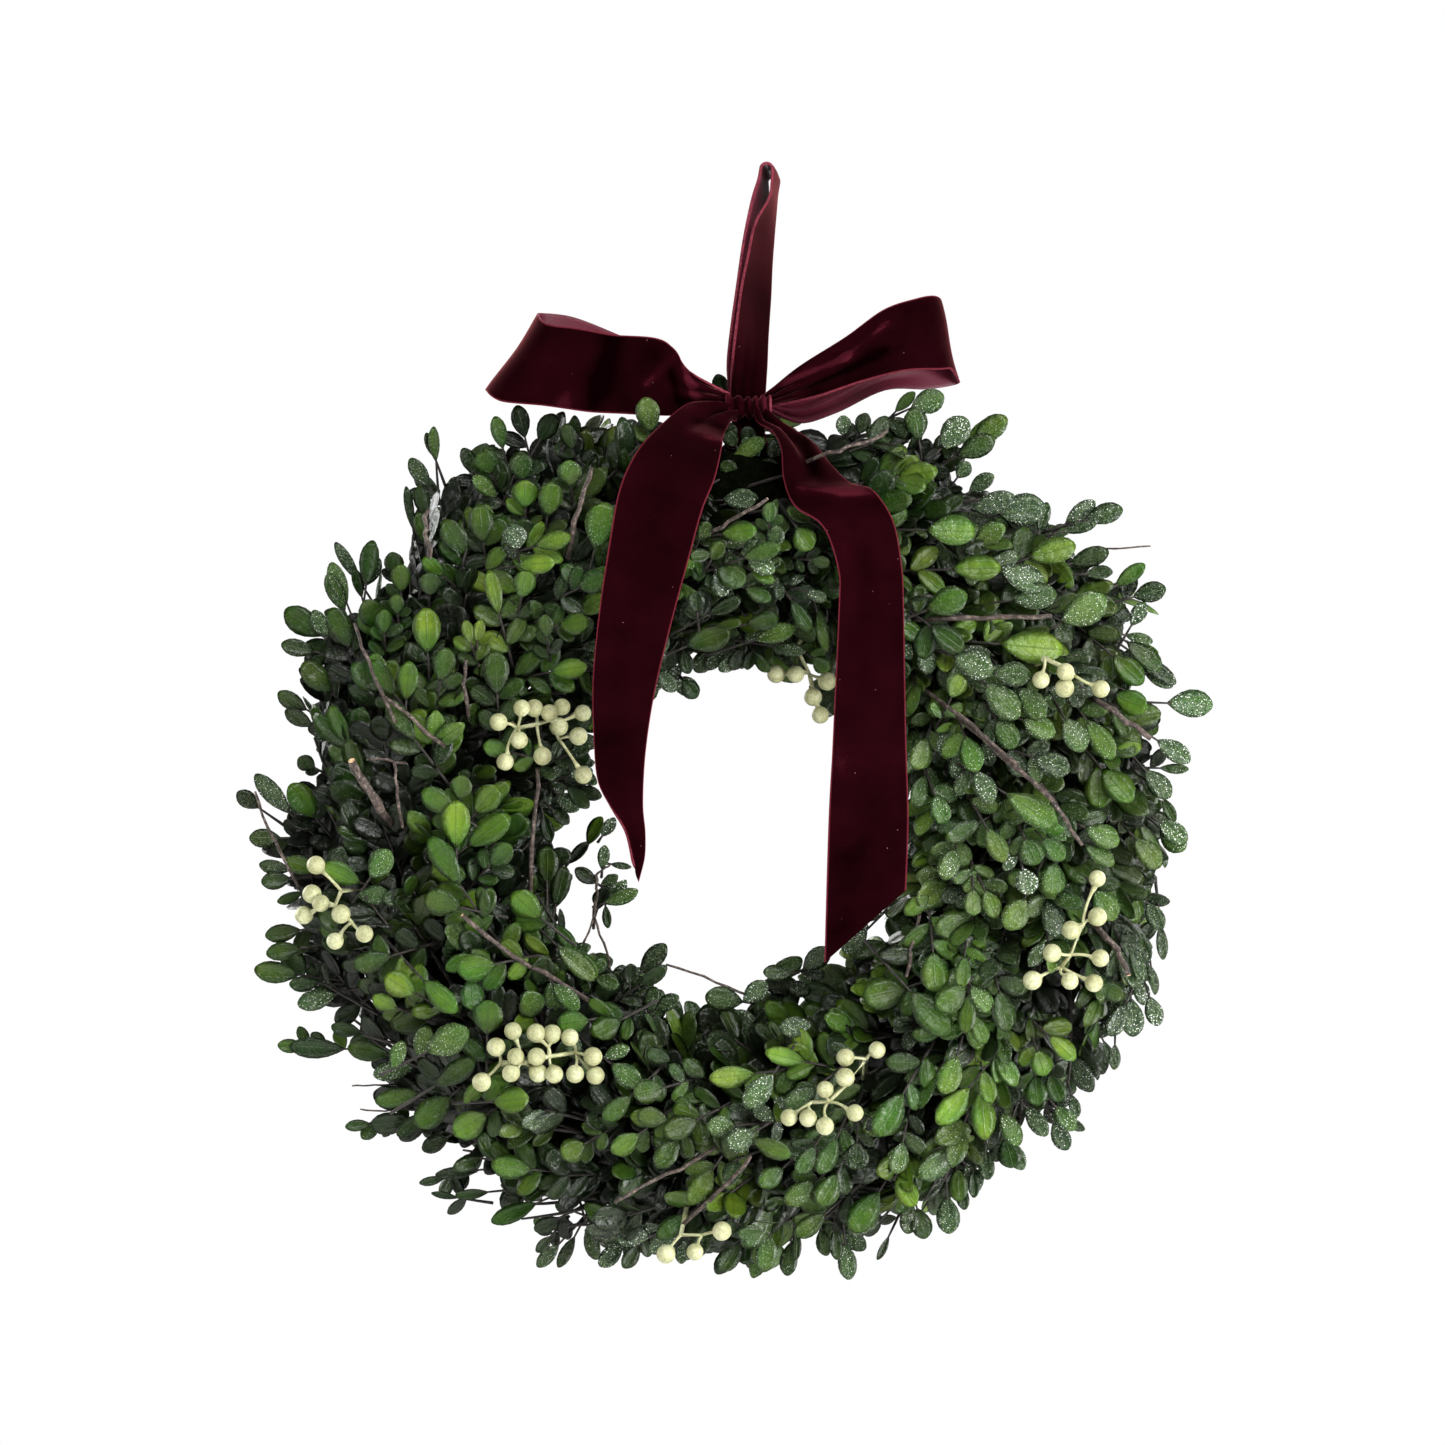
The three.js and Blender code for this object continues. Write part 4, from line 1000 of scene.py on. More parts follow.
class Bunch:
    """The points, faces, materials and tints of one bunch as it is put together."""

    UPPER, UNDER, BARK, CUT, CORE = range(5)

    def __init__(self):
        self.points, self.faces, self.slots, self.tints, self.uvs = [], [], [], [], []
        self.count = 0
        self.leaves, self.leaf_tints = [], []

    def put(self, points, faces, slots, shade=0.5):
        """Adds points and faces, each face with its material's slot."""
        self.faces += [tuple(i + self.count for i in face) for face in faces]
        self.points.append(points)
        self.slots += slots
        self.tints.append(np.full((len(points), 3), shade))
        self.uvs.append(np.zeros((len(points), 2)))
        self.count += len(points)

    def put_stem(self, points, radii, sides, cut_end=False, shade=0.8):
        """Adds a round stem along a path. A shade of 1 makes its bark darkest."""
        rings, faces = stem_tube(points, radii, sides)
        slots = [self.BARK] * len(faces)
        if cut_end:
            slots[-1] = self.CUT
        self.put(rings, faces, slots, shade)

    def add_leaf(self, base, forward, up, blade, tint):
        """The blade is its length, half width, cup, droop and taper. The tint is greenness,
        frost, and 1 for a listed leaf or else 0."""
        forward = forward / np.linalg.norm(forward)
        self.leaves.append([*base, *forward, *up, *blade])
        self.leaf_tints.append(tint)

    def put_leaves(self):
        """Adds the leaves that are clear of the bow, painted darker the deeper they lie, as painted shade.
        """
        leaves = np.array(self.leaves)
        tints = np.array(self.leaf_tints)
        shapes = leaf_shapes(leaves)
        keep = clear_of_bow(shapes) | (tints[:, 2] > 0.5)
        leaves, shapes, tints = leaves[keep], shapes[keep], tints[keep]
        by_hand = tints[:, 2] > 0.5
        # Painted shade: the deeper a leaf lies, the darker it is painted and the duller its glitter.
        inner = np.clip((DARK_FROM - surface_share(leaves[:, :3])) / DARK_OVER, 0, 1)
        tints[:, 2] = DARKEST * np.where(by_hand, 0, inner)
        tints[:, 1] *= 1 - GLITTER_DULLED * tints[:, 2]
        per_leaf = shapes.shape[1]
        starts = self.count + per_leaf * np.arange(len(shapes))
        self.faces += [tuple(face) for face in (starts[:, None, None] + leaf_faces).reshape(-1, 4)]
        self.points.append(shapes.reshape(-1, 3))
        self.slots += np.tile(np.where(leaf_under, self.UNDER, self.UPPER), len(shapes)).tolist()
        self.tints.append(np.repeat(tints, per_leaf, axis=0))
        uv = np.column_stack([leaf_s, 0.5 + leaf_t / 2])
        self.uvs.append(np.tile(uv, (len(shapes), 1)))
        self.count += per_leaf * len(shapes)


def twig_tint(random_source, angle):
    """Greenness and frost that the leaves of one twig share. The right side is frostier, and its leaves are
    painted greener and lighter, as painted light.
    """
    right = 0.5 + 0.5 * math.cos(angle - math.radians(5))
    if random_source.random() < 0.1:
        return random_source.uniform(0.1, 0.35), random_source.uniform(0.7, 1.0)
    # Painted light: twigs on the right are painted greener and lighter.
    green = random_source.betavariate(1.4, 1.9) + 0.4 * right - 0.06
    frost = random_source.gauss(0.08 + 0.55 * right, 0.24)
    return green, min(max(frost, 0), 1)


def leafy_twig(bunch, path, facing, random_source, tint, pairs):
    """Leaves in pairs along the outer part of a path, and one at its end."""
    path = np.array(path)
    steps = np.linalg.norm(np.diff(path, axis=0), axis=1)
    travel = np.concatenate([[0], np.cumsum(steps)])
    total = travel[-1]

    def leaf(distance, turn, spread, size):
        """One leaf, this far from the twig's end, turned to one side by an angle."""
        at = max(total - distance, 0.3 * total)
        base = np.array([np.interp(at, travel, path[:, k]) for k in range(3)])
        ahead = np.array([np.interp(min(at + 2, total), travel, path[:, k]) for k in range(3)])
        behind = np.array([np.interp(at - 2, travel, path[:, k]) for k in range(3)])
        axis = ahead - behind
        axis /= np.linalg.norm(axis)
        side = np.cross(facing, axis)
        side /= np.linalg.norm(side)
        forward = axis * math.cos(spread) + side * turn * math.sin(spread)
        forward += facing * random_source.uniform(-0.15, 0.4)
        up = facing + side * random_source.gauss(0, 0.34) + axis * random_source.gauss(0.0, 0.3)
        length = size * random_source.uniform(0.82, 1.16)
        blade = (
            length, length * random_source.uniform(0.23, 0.34), random_source.uniform(0.4, 2.6),
            random_source.uniform(-0.03, 0.18), random_source.uniform(0.82, 1.15),
        )
        green = min(max(tint[0] + random_source.gauss(0, 0.13), 0), 1)
        frost = min(max(tint[1] + random_source.gauss(0, 0.12), 0), 1)
        bunch.add_leaf(base, forward, up / np.linalg.norm(up), blade, (green, frost, 0))

    size = random_source.uniform(*LEAF_LENGTHS)
    leaf(0, 0, 0, size)
    for pair in range(pairs):
        distance = 3 + LEAF_SPACING * pair + random_source.uniform(-1.2, 1.2)
        spread = math.radians(random_source.uniform(22, 54) + 3 * pair)
        for turn in (1, -1):
            leaf(distance, turn, spread, size * (1.0 - 0.03 * pair))


def grow_twig(bunch, bearing, angle, depth_share, random_source):
    """One twig from the core to the foliage's surface, leaning clockwise."""
    reach = foliage_reach(bearing, angle - 0.3) * depth_share
    root_reach = oval_reach(bearing, CORE_HALF_WIDTH, CORE_HALF_DEPTH) - 6
    heart = on_wreath(HEART_RADIUS, angle, HEART_Y)
    root = heart + bearing_direction(angle, bearing) * root_reach
    front = abs(math.sin(bearing))
    sweep = (0.26 + 0.1 * front) * random_source.uniform(0.65, 1.3)
    outwards = math.radians(18 * max(math.sin(bearing), 0))
    tip_angle = angle - sweep
    tip_heart = on_wreath(HEART_RADIUS, tip_angle, HEART_Y)
    tip = tip_heart + bearing_direction(tip_angle, bearing - outwards) * reach
    tip[1] = min(tip[1], BACK_FACE_Y)
    knee = root * 0.5 + tip * 0.5 + bearing_direction(angle, bearing) * 7
    t = np.linspace(0, 1, 7)[:, None]
    path = root * (1 - t) ** 2 + knee * 2 * t * (1 - t) + tip * t**2
    # The twig stops short of the surface, and its last leaf reaches on.
    direction = path[-1] - path[-2]
    stop = tip - direction / np.linalg.norm(direction) * TWIG_STOPS_SHORT
    path = path[np.linalg.norm(path - tip, axis=1) > TWIG_STOPS_SHORT]
    path = np.vstack([path, stop])
    facing = bearing_direction(tip_angle, bearing) + np.array([0, -0.9, 0])
    # The outermost twigs are turned this way and that, so some of their leaves are edge-on.
    turned = 0.25 + 0.5 * max(math.cos(bearing), 0)
    facing += [random_source.gauss(0, turned), 0, random_source.gauss(0, turned)]
    facing /= np.linalg.norm(facing)
    if not clear_of_bow(path[None, -3:])[0]:
        return
    bunch.put_stem(path, np.linspace(1.2, 0.55, len(path)), 5)
    tint = twig_tint(random_source, tip_angle)
    pairs = random_source.choice((2, 3, 3, 4))
    leafy_twig(bunch, path, facing, random_source, tint, pairs)


def slot_for_strap(points):
    """Presses the core's points forward, out of the way of the hanging ribbon."""
    z = points[:, 2]
    limit = np.interp(z, [RING_TOP - 20, RING_TOP + 18, KNOT_Z - 20], [-1.5, -3.7, -17.0])
    near = (np.abs(points[:, 0] - KNOT_X) < 24) & (z > RING_TOP - 26)
    points[:, 1] = np.where(near, np.minimum(points[:, 1], limit), points[:, 1])
    return points


CORE_SECTIONS, CORE_SIDES = 9, 40


def core_wedge(start):
    """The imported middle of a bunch: an oval section swept along its part of the ring from a
    starting angle, with a channel at the back for the ring, and a lumpy skin."""
    rings = []
    for i in range(CORE_SECTIONS):
        angle = start - BUNCH_WIDTH * i / (CORE_SECTIONS - 1)
        for j in range(CORE_SIDES):
            bearing = 2 * math.pi * j / CORE_SIDES
            reach = oval_reach(bearing, CORE_HALF_WIDTH, CORE_HALF_DEPTH)
            reach += 1.6 * math.sin(7 * bearing + 40 * angle) + 1.2 * math.sin(13 * bearing - 90 * angle)
            radius = HEART_RADIUS + reach * math.cos(bearing)
            y = min(HEART_Y - reach * math.sin(bearing), 16)
            if abs(radius - RING_RADIUS) < CHANNEL_HALF_WIDTH:
                y = min(y, RING_Y - CHANNEL_DEPTH)
            rings.append(on_wreath(radius, angle, y))
    faces = []
    for i in range(CORE_SECTIONS - 1):
        for j in range(CORE_SIDES):
            k = (j + 1) % CORE_SIDES
            a, b = i * CORE_SIDES, (i + 1) * CORE_SIDES
            faces.append((a + j, b + j, b + k, a + k))
    faces.append(tuple(range(CORE_SIDES)))
    last = (CORE_SECTIONS - 1) * CORE_SIDES
    faces.append(tuple(range(last, last + CORE_SIDES))[::-1])
    return slot_for_strap(np.array(rings)), faces


# Twigs without leaves that stand out, root to tip, some with a pale cut end. Places in mm.
BARE_TWIGS = [
    ((-186, -80, -318), (-197.5, -99, -294), 2.3, True), ((-179, -86, -295), (-192, -87, -294), 0.7, False),
    ((-177, -82, -318), (-179, -87, -295), 0.8, False), ((-95, -80, -187), (-86, -86, -156), 1.3, True),
    ((-164, -68, -197), (-164, -72, -175), 1.2, False), ((-162, -78, -283), (-184, -86, -264), 1.1, False),
    ((-184, -86, -264), (-199, -75, -229), 0.9, False), ((-145, -80, -268), (-145, -88, -247), 1.0, False),
    ((-117, -48, -347), (-113, -64, -298), 1.2, False), ((-101, -60, -402), (-147, -86, -367), 1.3, True),
    ((-235, -52, -344), (-252, -38, -310), 0.8, False), ((83, -80, -227), (131, -86, -226), 1.3, False),
    ((165, -30, -191), (185, -33, -190), 0.5, False), ((-189, -20, -455), (-207, -20, -455.5), 0.5, False),
    ((-184, -20, -467), (-203, -20, -467), 0.5, False), ((83, -73, -269), (115, -88, -296), 1.1, False),
    ((94, -76, -279), (131, -90, -313), 1.4, False), ((131, -90, -313), (145, -88, -334), 1.1, False),
    ((159, -73, -269), (179, -76, -284), 1.6, False), ((73, -53, -359), (63, -74, -397), 1.0, False),
    ((26, -72, -147.7), (54, -76, -137.4), 1.0, True), ((-28, -78, -185), (-3, -90, -171), 1.0, True),
    ((-40, -80, -485), (-75, -88, -502), 1.0, False), ((-35, -78, -507), (-11, -90, -480), 1.1, False),
    ((155, -74, -375), (168, -80, -396), 1.6, True),
    # The stalks of the sprig that strays into the hole, and a thin bare vine below it.
    ((-93.9, -14, -387), (-88, -14, -371.7), 0.6, False),
    ((-80, -14, -399), (-88, -14, -371.7), 0.7, False),
    ((-88, -14, -371.7), (-86.8, -14, -351.7), 0.9, False),
    ((-86.8, -14, -351.7), (-80, -14, -347), 0.6, False),
    ((-16.2, -30, -408.3), (-52, -30, -394.8), 0.7, False),
]

# How thick such a twig is at each of its points, as a share of its radius.
KNOBS = np.array([1.15, 1.1, 1.25, 1.0, 1.12, 0.95, 1.1, 0.9])

# Leaves of the outline, the hole and the knot, placed as seen from the front: tip x and z, base
# x and z, half width, greenness and depth y.
EDGE_LEAVES = [
    # Below and above the knot.
    (-3, -134.3, -19.7, -145, 4.6, 0.75, -24), (-23, -131, -17.2, -138.5, 4.0, 0.35, -21),
    (-24.7, -146, -17.2, -153.5, 4.5, 0.45, -27), (2, -134.3, 0.3, -146.8, 4.0, 0.2, -20),
    (-12, -128, -11, -138.5, 4.2, 0.2, -19), (-14, -134, -6, -146, 4.5, 0.25, -18.5),
    (-4, -145, 4, -155, 4.8, 0.25, -22), (-12, -148, -10, -160, 5.0, 0.4, -21),
    (-6.5, -163.5, -22.2, -166.9, 4.6, 0.35, -40), (-27, -102, -24, -114, 4.2, 0.2, 5),
    (-7, -164.5, -24, -165, 5.4, 0.3, -58), (8, -169, 20, -176, 4, 0.65, -70),
    (-31, -176, -36, -185, 4, 0.5, -76),
    # The sprig in the hole.
    (-84.3, -323.4, -91.8, -337.5, 4.3, 0.7, -15), (-78, -323.8, -84.7, -333.3, 3.2, 0.1, -13),
    (-91, -336, -101.5, -347, 3.0, 0.1, -14), (-83, -337.5, -84.5, -350, 3.1, 0.5, -15),
    (-98, -349.2, -87.2, -356.7, 3.8, 0.15, -13), (-66.4, -360, -83.9, -366.7, 4.0, 0.65, -16),
    (-72.2, -355, -83, -365, 3.6, 0.5, -13), (-69.7, -348.6, -80.5, -347, 1.8, 0.2, -14),
    (-81.4, -379.2, -82.8, -367.5, 2.4, 0.35, -14), (-82.2, -358, -87, -370, 3.2, 0.1, -12),
    (-52.5, -387, -65.5, -401.7, 5.0, 0.15, -30), (-70.1, -396.7, -70.5, -408.4, 4.5, 0.2, -30),
    # Round the left side, from the bottom up.
    (-117, -548.5, -106, -537, 3.6, 0.35, -15), (-106.5, -548.8, -98, -533, 3.2, 0.25, -12),
    (-118.5, -530, -106, -524, 4.2, 0.3, -22), (-140, -526, -117, -516.5, 4.6, 0.55, -26),
    (-168, -502.5, -145.5, -500, 3.2, 0.1, -16), (-158, -512.5, -141, -511, 2.8, 0.35, -18),
    (-174.5, -490, -161, -483, 4.4, 0.15, -24), (-200.5, -477.5, -179.5, -475, 6.0, 0.15, -22),
    (-213, -478.5, -200, -477, 3.0, 0.45, -16), (-198, -466, -176, -461, 4.8, 0.6, -36),
    (-199, -452.5, -178, -448, 5.2, 0.5, -30), (-241, -438, -213, -439.5, 5.4, 0.25, -20),
    (-246.8, -437.5, -233, -438.5, 3.6, 0.65, -16), (-211.8, -438.6, -190.5, -442.6, 5.2, 0.5, -30),
    (-218, -426.3, -205, -417, 5.0, 0.1, -24), (-236.8, -417.5, -217, -412, 5.4, 0.5, -26),
    (-258.5, -399.5, -236, -402.5, 5.6, 0.55, -22), (-267, -311, -256, -319, 4.4, 0.1, -12),
    (-258, -302, -240, -322, 5.0, 0.25, -20), (-240.5, -307, -228, -323.8, 6.6, 0.65, -34),
    (-243, -345, -226, -350, 4.8, 0.6, -30), (-243, -219.5, -224.5, -233, 6.8, 0.45, -26),
    (-220, -196, -212, -217, 4.6, 0.6, -24), (-218, -186, -205.5, -206, 3.2, 0.15, -18),
    (-199, -185, -202.5, -208, 5.0, 0.4, -28), (-182.5, -158, -179, -180, 2.4, 0.2, -20),
    (-176, -158, -172, -174, 4.4, 0.3, -24), (-176.5, -171, -173, -187, 3.6, 0.45, -26),
    (-208.5, -199, -204.5, -214, 2.8, 0.3, -22), (-245, -237, -228, -241, 4.4, 0.3, -26),
    (-246.5, -261, -232, -270, 4.6, 0.35, -28), (-243, -270, -229, -278, 4.2, 0.25, -26),
    (-261, -334, -245, -334, 4.8, 0.35, -22), (-256, -347, -240, -350, 3.8, 0.25, -24),
    (-253, -383, -235, -380, 4.6, 0.4, -24), (-252.5, -392, -235, -389, 4.6, 0.5, -26),
    (-187, -483, -173, -472, 4.0, 0.3, -24), (-176, -506.5, -163, -504, 2.4, 0.2, -14),
    (-170, -511.5, -156, -514, 1.8, 0.2, -14), (-180.5, -144, -170.5, -159, 4.2, 0.3, -22),
    (-168.6, -128.1, -167.5, -146, 3.0, 0.55, -20), (-172.5, -131.3, -168, -144, 2.8, 0.1, -19),
    (-154.3, -139, -147, -153, 4.0, 0.15, -24), (-138, -123, -134, -139.5, 4.0, 0.6, -26),
    (-127, -117.5, -123, -134, 4.6, 0.15, -24), (-108, -122, -116, -136, 5.2, 0.3, -28),
    (-63, -113.5, -59.8, -131, 6.0, 0.75, -47),
    # Round the right side, from the top down.
    (86.5, -112.5, 70, -119, 6.2, 0.55, -38), (118, -123.5, 101, -136, 6.0, 0.7, -28),
    (112, -134, 93, -143, 5.8, 0.45, -34), (176, -169.5, 157, -175, 5.8, 0.4, -24),
    (162, -165.5, 147, -177, 4.6, 0.2, -20), (169, -190.5, 149, -197, 5.2, 0.35, -30),
    (111.5, -152.5, 99, -161, 4.2, 0.35, -30), (197.5, -209, 181, -213.5, 5.2, 0.3, -22),
    (202.5, -257, 183, -243, 4.2, 0.15, -24), (221, -267.5, 198, -266.5, 7.2, 0.65, -20),
    (209.5, -296, 193, -285, 5.2, 0.5, -26), (199.5, -314, 187, -300, 5.6, 0.45, -30),
    (208, -336, 194, -326, 5.4, 0.6, -28), (193.5, -428, 189, -413, 4.6, 0.35, -20),
    (172, -449, 166, -435, 2.4, 0.3, -18), (157, -480, 146, -473, 2.8, 0.3, -20),
    (195.5, -380, 188, -366, 4.6, 0.3, -22), (148.5, -490, 141, -476, 4.8, 0.3, -20),
    (105, -509, 97, -497, 4.2, 0.3, -20), (97, -520, 94, -506, 3.4, 0.3, -20),
    (33, -545, 32, -529, 3.6, 0.4, -20), (39, -555, 37, -536, 4.8, 0.5, -18),
    (8, -553, 10, -536, 4.6, 0.4, -20), (-25.5, -550.5, -15, -536, 5.0, 0.45, -22),
    (-61, -541, -47, -531, 5.0, 0.35, -24), (-86, -548, -74, -537, 4.6, 0.3, -18),
    (-74, -549, -66, -537, 4.2, 0.35, -22),
    # More along the lower right, the top right and the left.
    (181, -433.5, 180, -414, 6, 0.35, -20), (169, -433, 177, -417, 5, 0.3, -22),
    (196, -395, 194.5, -377, 3, 0.3, -20), (192, -412.5, 190, -398, 2.5, 0.3, -18),
    (138, -483, 127, -468, 4.6, 0.4, -22), (108.5, -505, 107, -490, 4.2, 0.35, -22),
    (101.5, -514, 101, -500, 3, 0.35, -22), (89, -532, 88, -513, 6, 0.45, -22),
    (77, -534.5, 73, -519, 5.4, 0.45, -22), (66, -527, 71, -516, 3.6, 0.35, -24),
    (12.5, -545, 13, -530, 2.6, 0.35, -20), (28, -543, 25, -529, 4, 0.4, -20),
    (-45, -547, -43, -534, 4, 0.4, -22), (-27.5, -552, -17, -537, 4.6, 0.35, -20),
    (53, -545, 59, -533, 2, 0.2, -18), (68, -532, 70, -517, 5, 0.4, -22),
    (126, -500, 119, -485, 4.4, 0.45, -22), (171.5, -450, 172, -437, 3, 0.3, -18),
    (153, -474, 150, -462, 3, 0.35, -20), (71, -119, 74, -135, 6, 0.5, -36),
    (72, -111, 62, -121, 3, 0.6, -34), (36, -122.5, 36, -133, 4, 0.4, -34),
    (48, -121.5, 44, -132, 4, 0.3, -34), (99, -146, 93, -154, 4, 0.45, -34),
    (138, -166, 134, -181, 3.4, 0.35, -30), (163, -176.5, 145, -181, 3, 0.25, -24),
    (171, -201, 157, -202, 3.6, 0.35, -30), (187, -216, 180, -228, 4, 0.35, -26),
    (191, -236, 177, -232.5, 3, 0.5, -26), (201, -258.5, 187, -252, 3, 0.35, -24),
    (209, -299.5, 194, -299, 2.6, 0.45, -24), (202, -326, 196, -314, 3, 0.45, -24),
    (-229, -220, -222, -234, 4, 0.4, -26), (-222, -202, -213, -221, 4.4, 0.45, -24),
    (-190, -191, -186, -203, 5, 0.35, -28), (-236.5, -294, -228, -299, 4.4, 0.3, -26),
    (-255, -356, -240, -354.5, 4.6, 0.35, -24), (-247, -366, -234, -361, 3, 0.35, -22),
    (-241, -407, -226, -407, 4, 0.35, -22), (-220, -428, -205, -431, 4, 0.35, -24),
    (-117.5, -541, -110, -533, 3, 0.3, -16), (-87, -545, -92, -528, 4, 0.35, -20),
    (-108, -517, -98, -521, 3, 0.35, -22), (-19.5, -126.5, -22, -136, 4, 0.2, -19.5),
    # Round the hole.
    (-36, -259.5, -50, -256, 5, 0.15, -30), (-38, -251, -29, -240, 5, 0.2, -34),
    (-32, -250, -24, -238, 4, 0.2, -34), (-20, -250, -14, -239, 4, 0.2, -34),
    (-26, -250.5, -16, -242, 4, 0.25, -34), (-12, -250, -9, -240, 3.5, 0.3, -36),
    (-103, -348, -108, -369, 5, 0.35, -26), (-110, -336, -114, -322, 3.5, 0.2, -28),
    (36, -391, 48, -380, 5.4, 0.3, -34), (15.5, -394, -2, -405, 5.4, 0.35, -30),
    (-33, -413, -14, -416, 6.4, 0.45, -30), (-84.5, -313.5, -97, -309, 3.6, 0.15, -38),
    (-96, -320, -107, -312, 4.6, 0.2, -32), (-101, -327, -110, -319, 3.6, 0.2, -28),
    (-89, -300, -101, -303, 4.2, 0.2, -45), (-90, -287.5, -101, -292, 4.6, 0.25, -50),
    (-100, -341, -113, -346, 5, 0.15, -24), (-112, -338, -112, -357, 6, 0.45, -30),
    (-98, -391, -108, -377, 4, 0.6, -40), (-87, -404, -99, -389, 4.5, 0.65, -42),
    (-76, -408, -88, -404, 4, 0.5, -44), (29, -389, 16, -400, 5.4, 0.3, -32),
    (-2, -406, -14, -416, 5.0, 0.4, -34),
    # The rim of the hole.
    (-41, -252, -44, -240, 4.0, 0.25, -45), (-48, -261, -56, -251, 4.0, 0.3, -45),
    (-37, -264, -44, -255, 4.5, 0.35, -45), (-90, -296, -103, -290, 4.0, 0.25, -40),
    (-87, -307, -97, -299, 3.5, 0.3, -40), (-91, -319, -102, -308, 4.0, 0.35, -40),
    (-90, -388, -104, -393, 3.5, 0.3, -40), (-52, -398, -66, -408, 4.0, 0.3, -40),
    (-46, -413, -58, -420, 4.0, 0.3, -40), (-4, -401, 10, -402, 4.0, 0.3, -45),
]


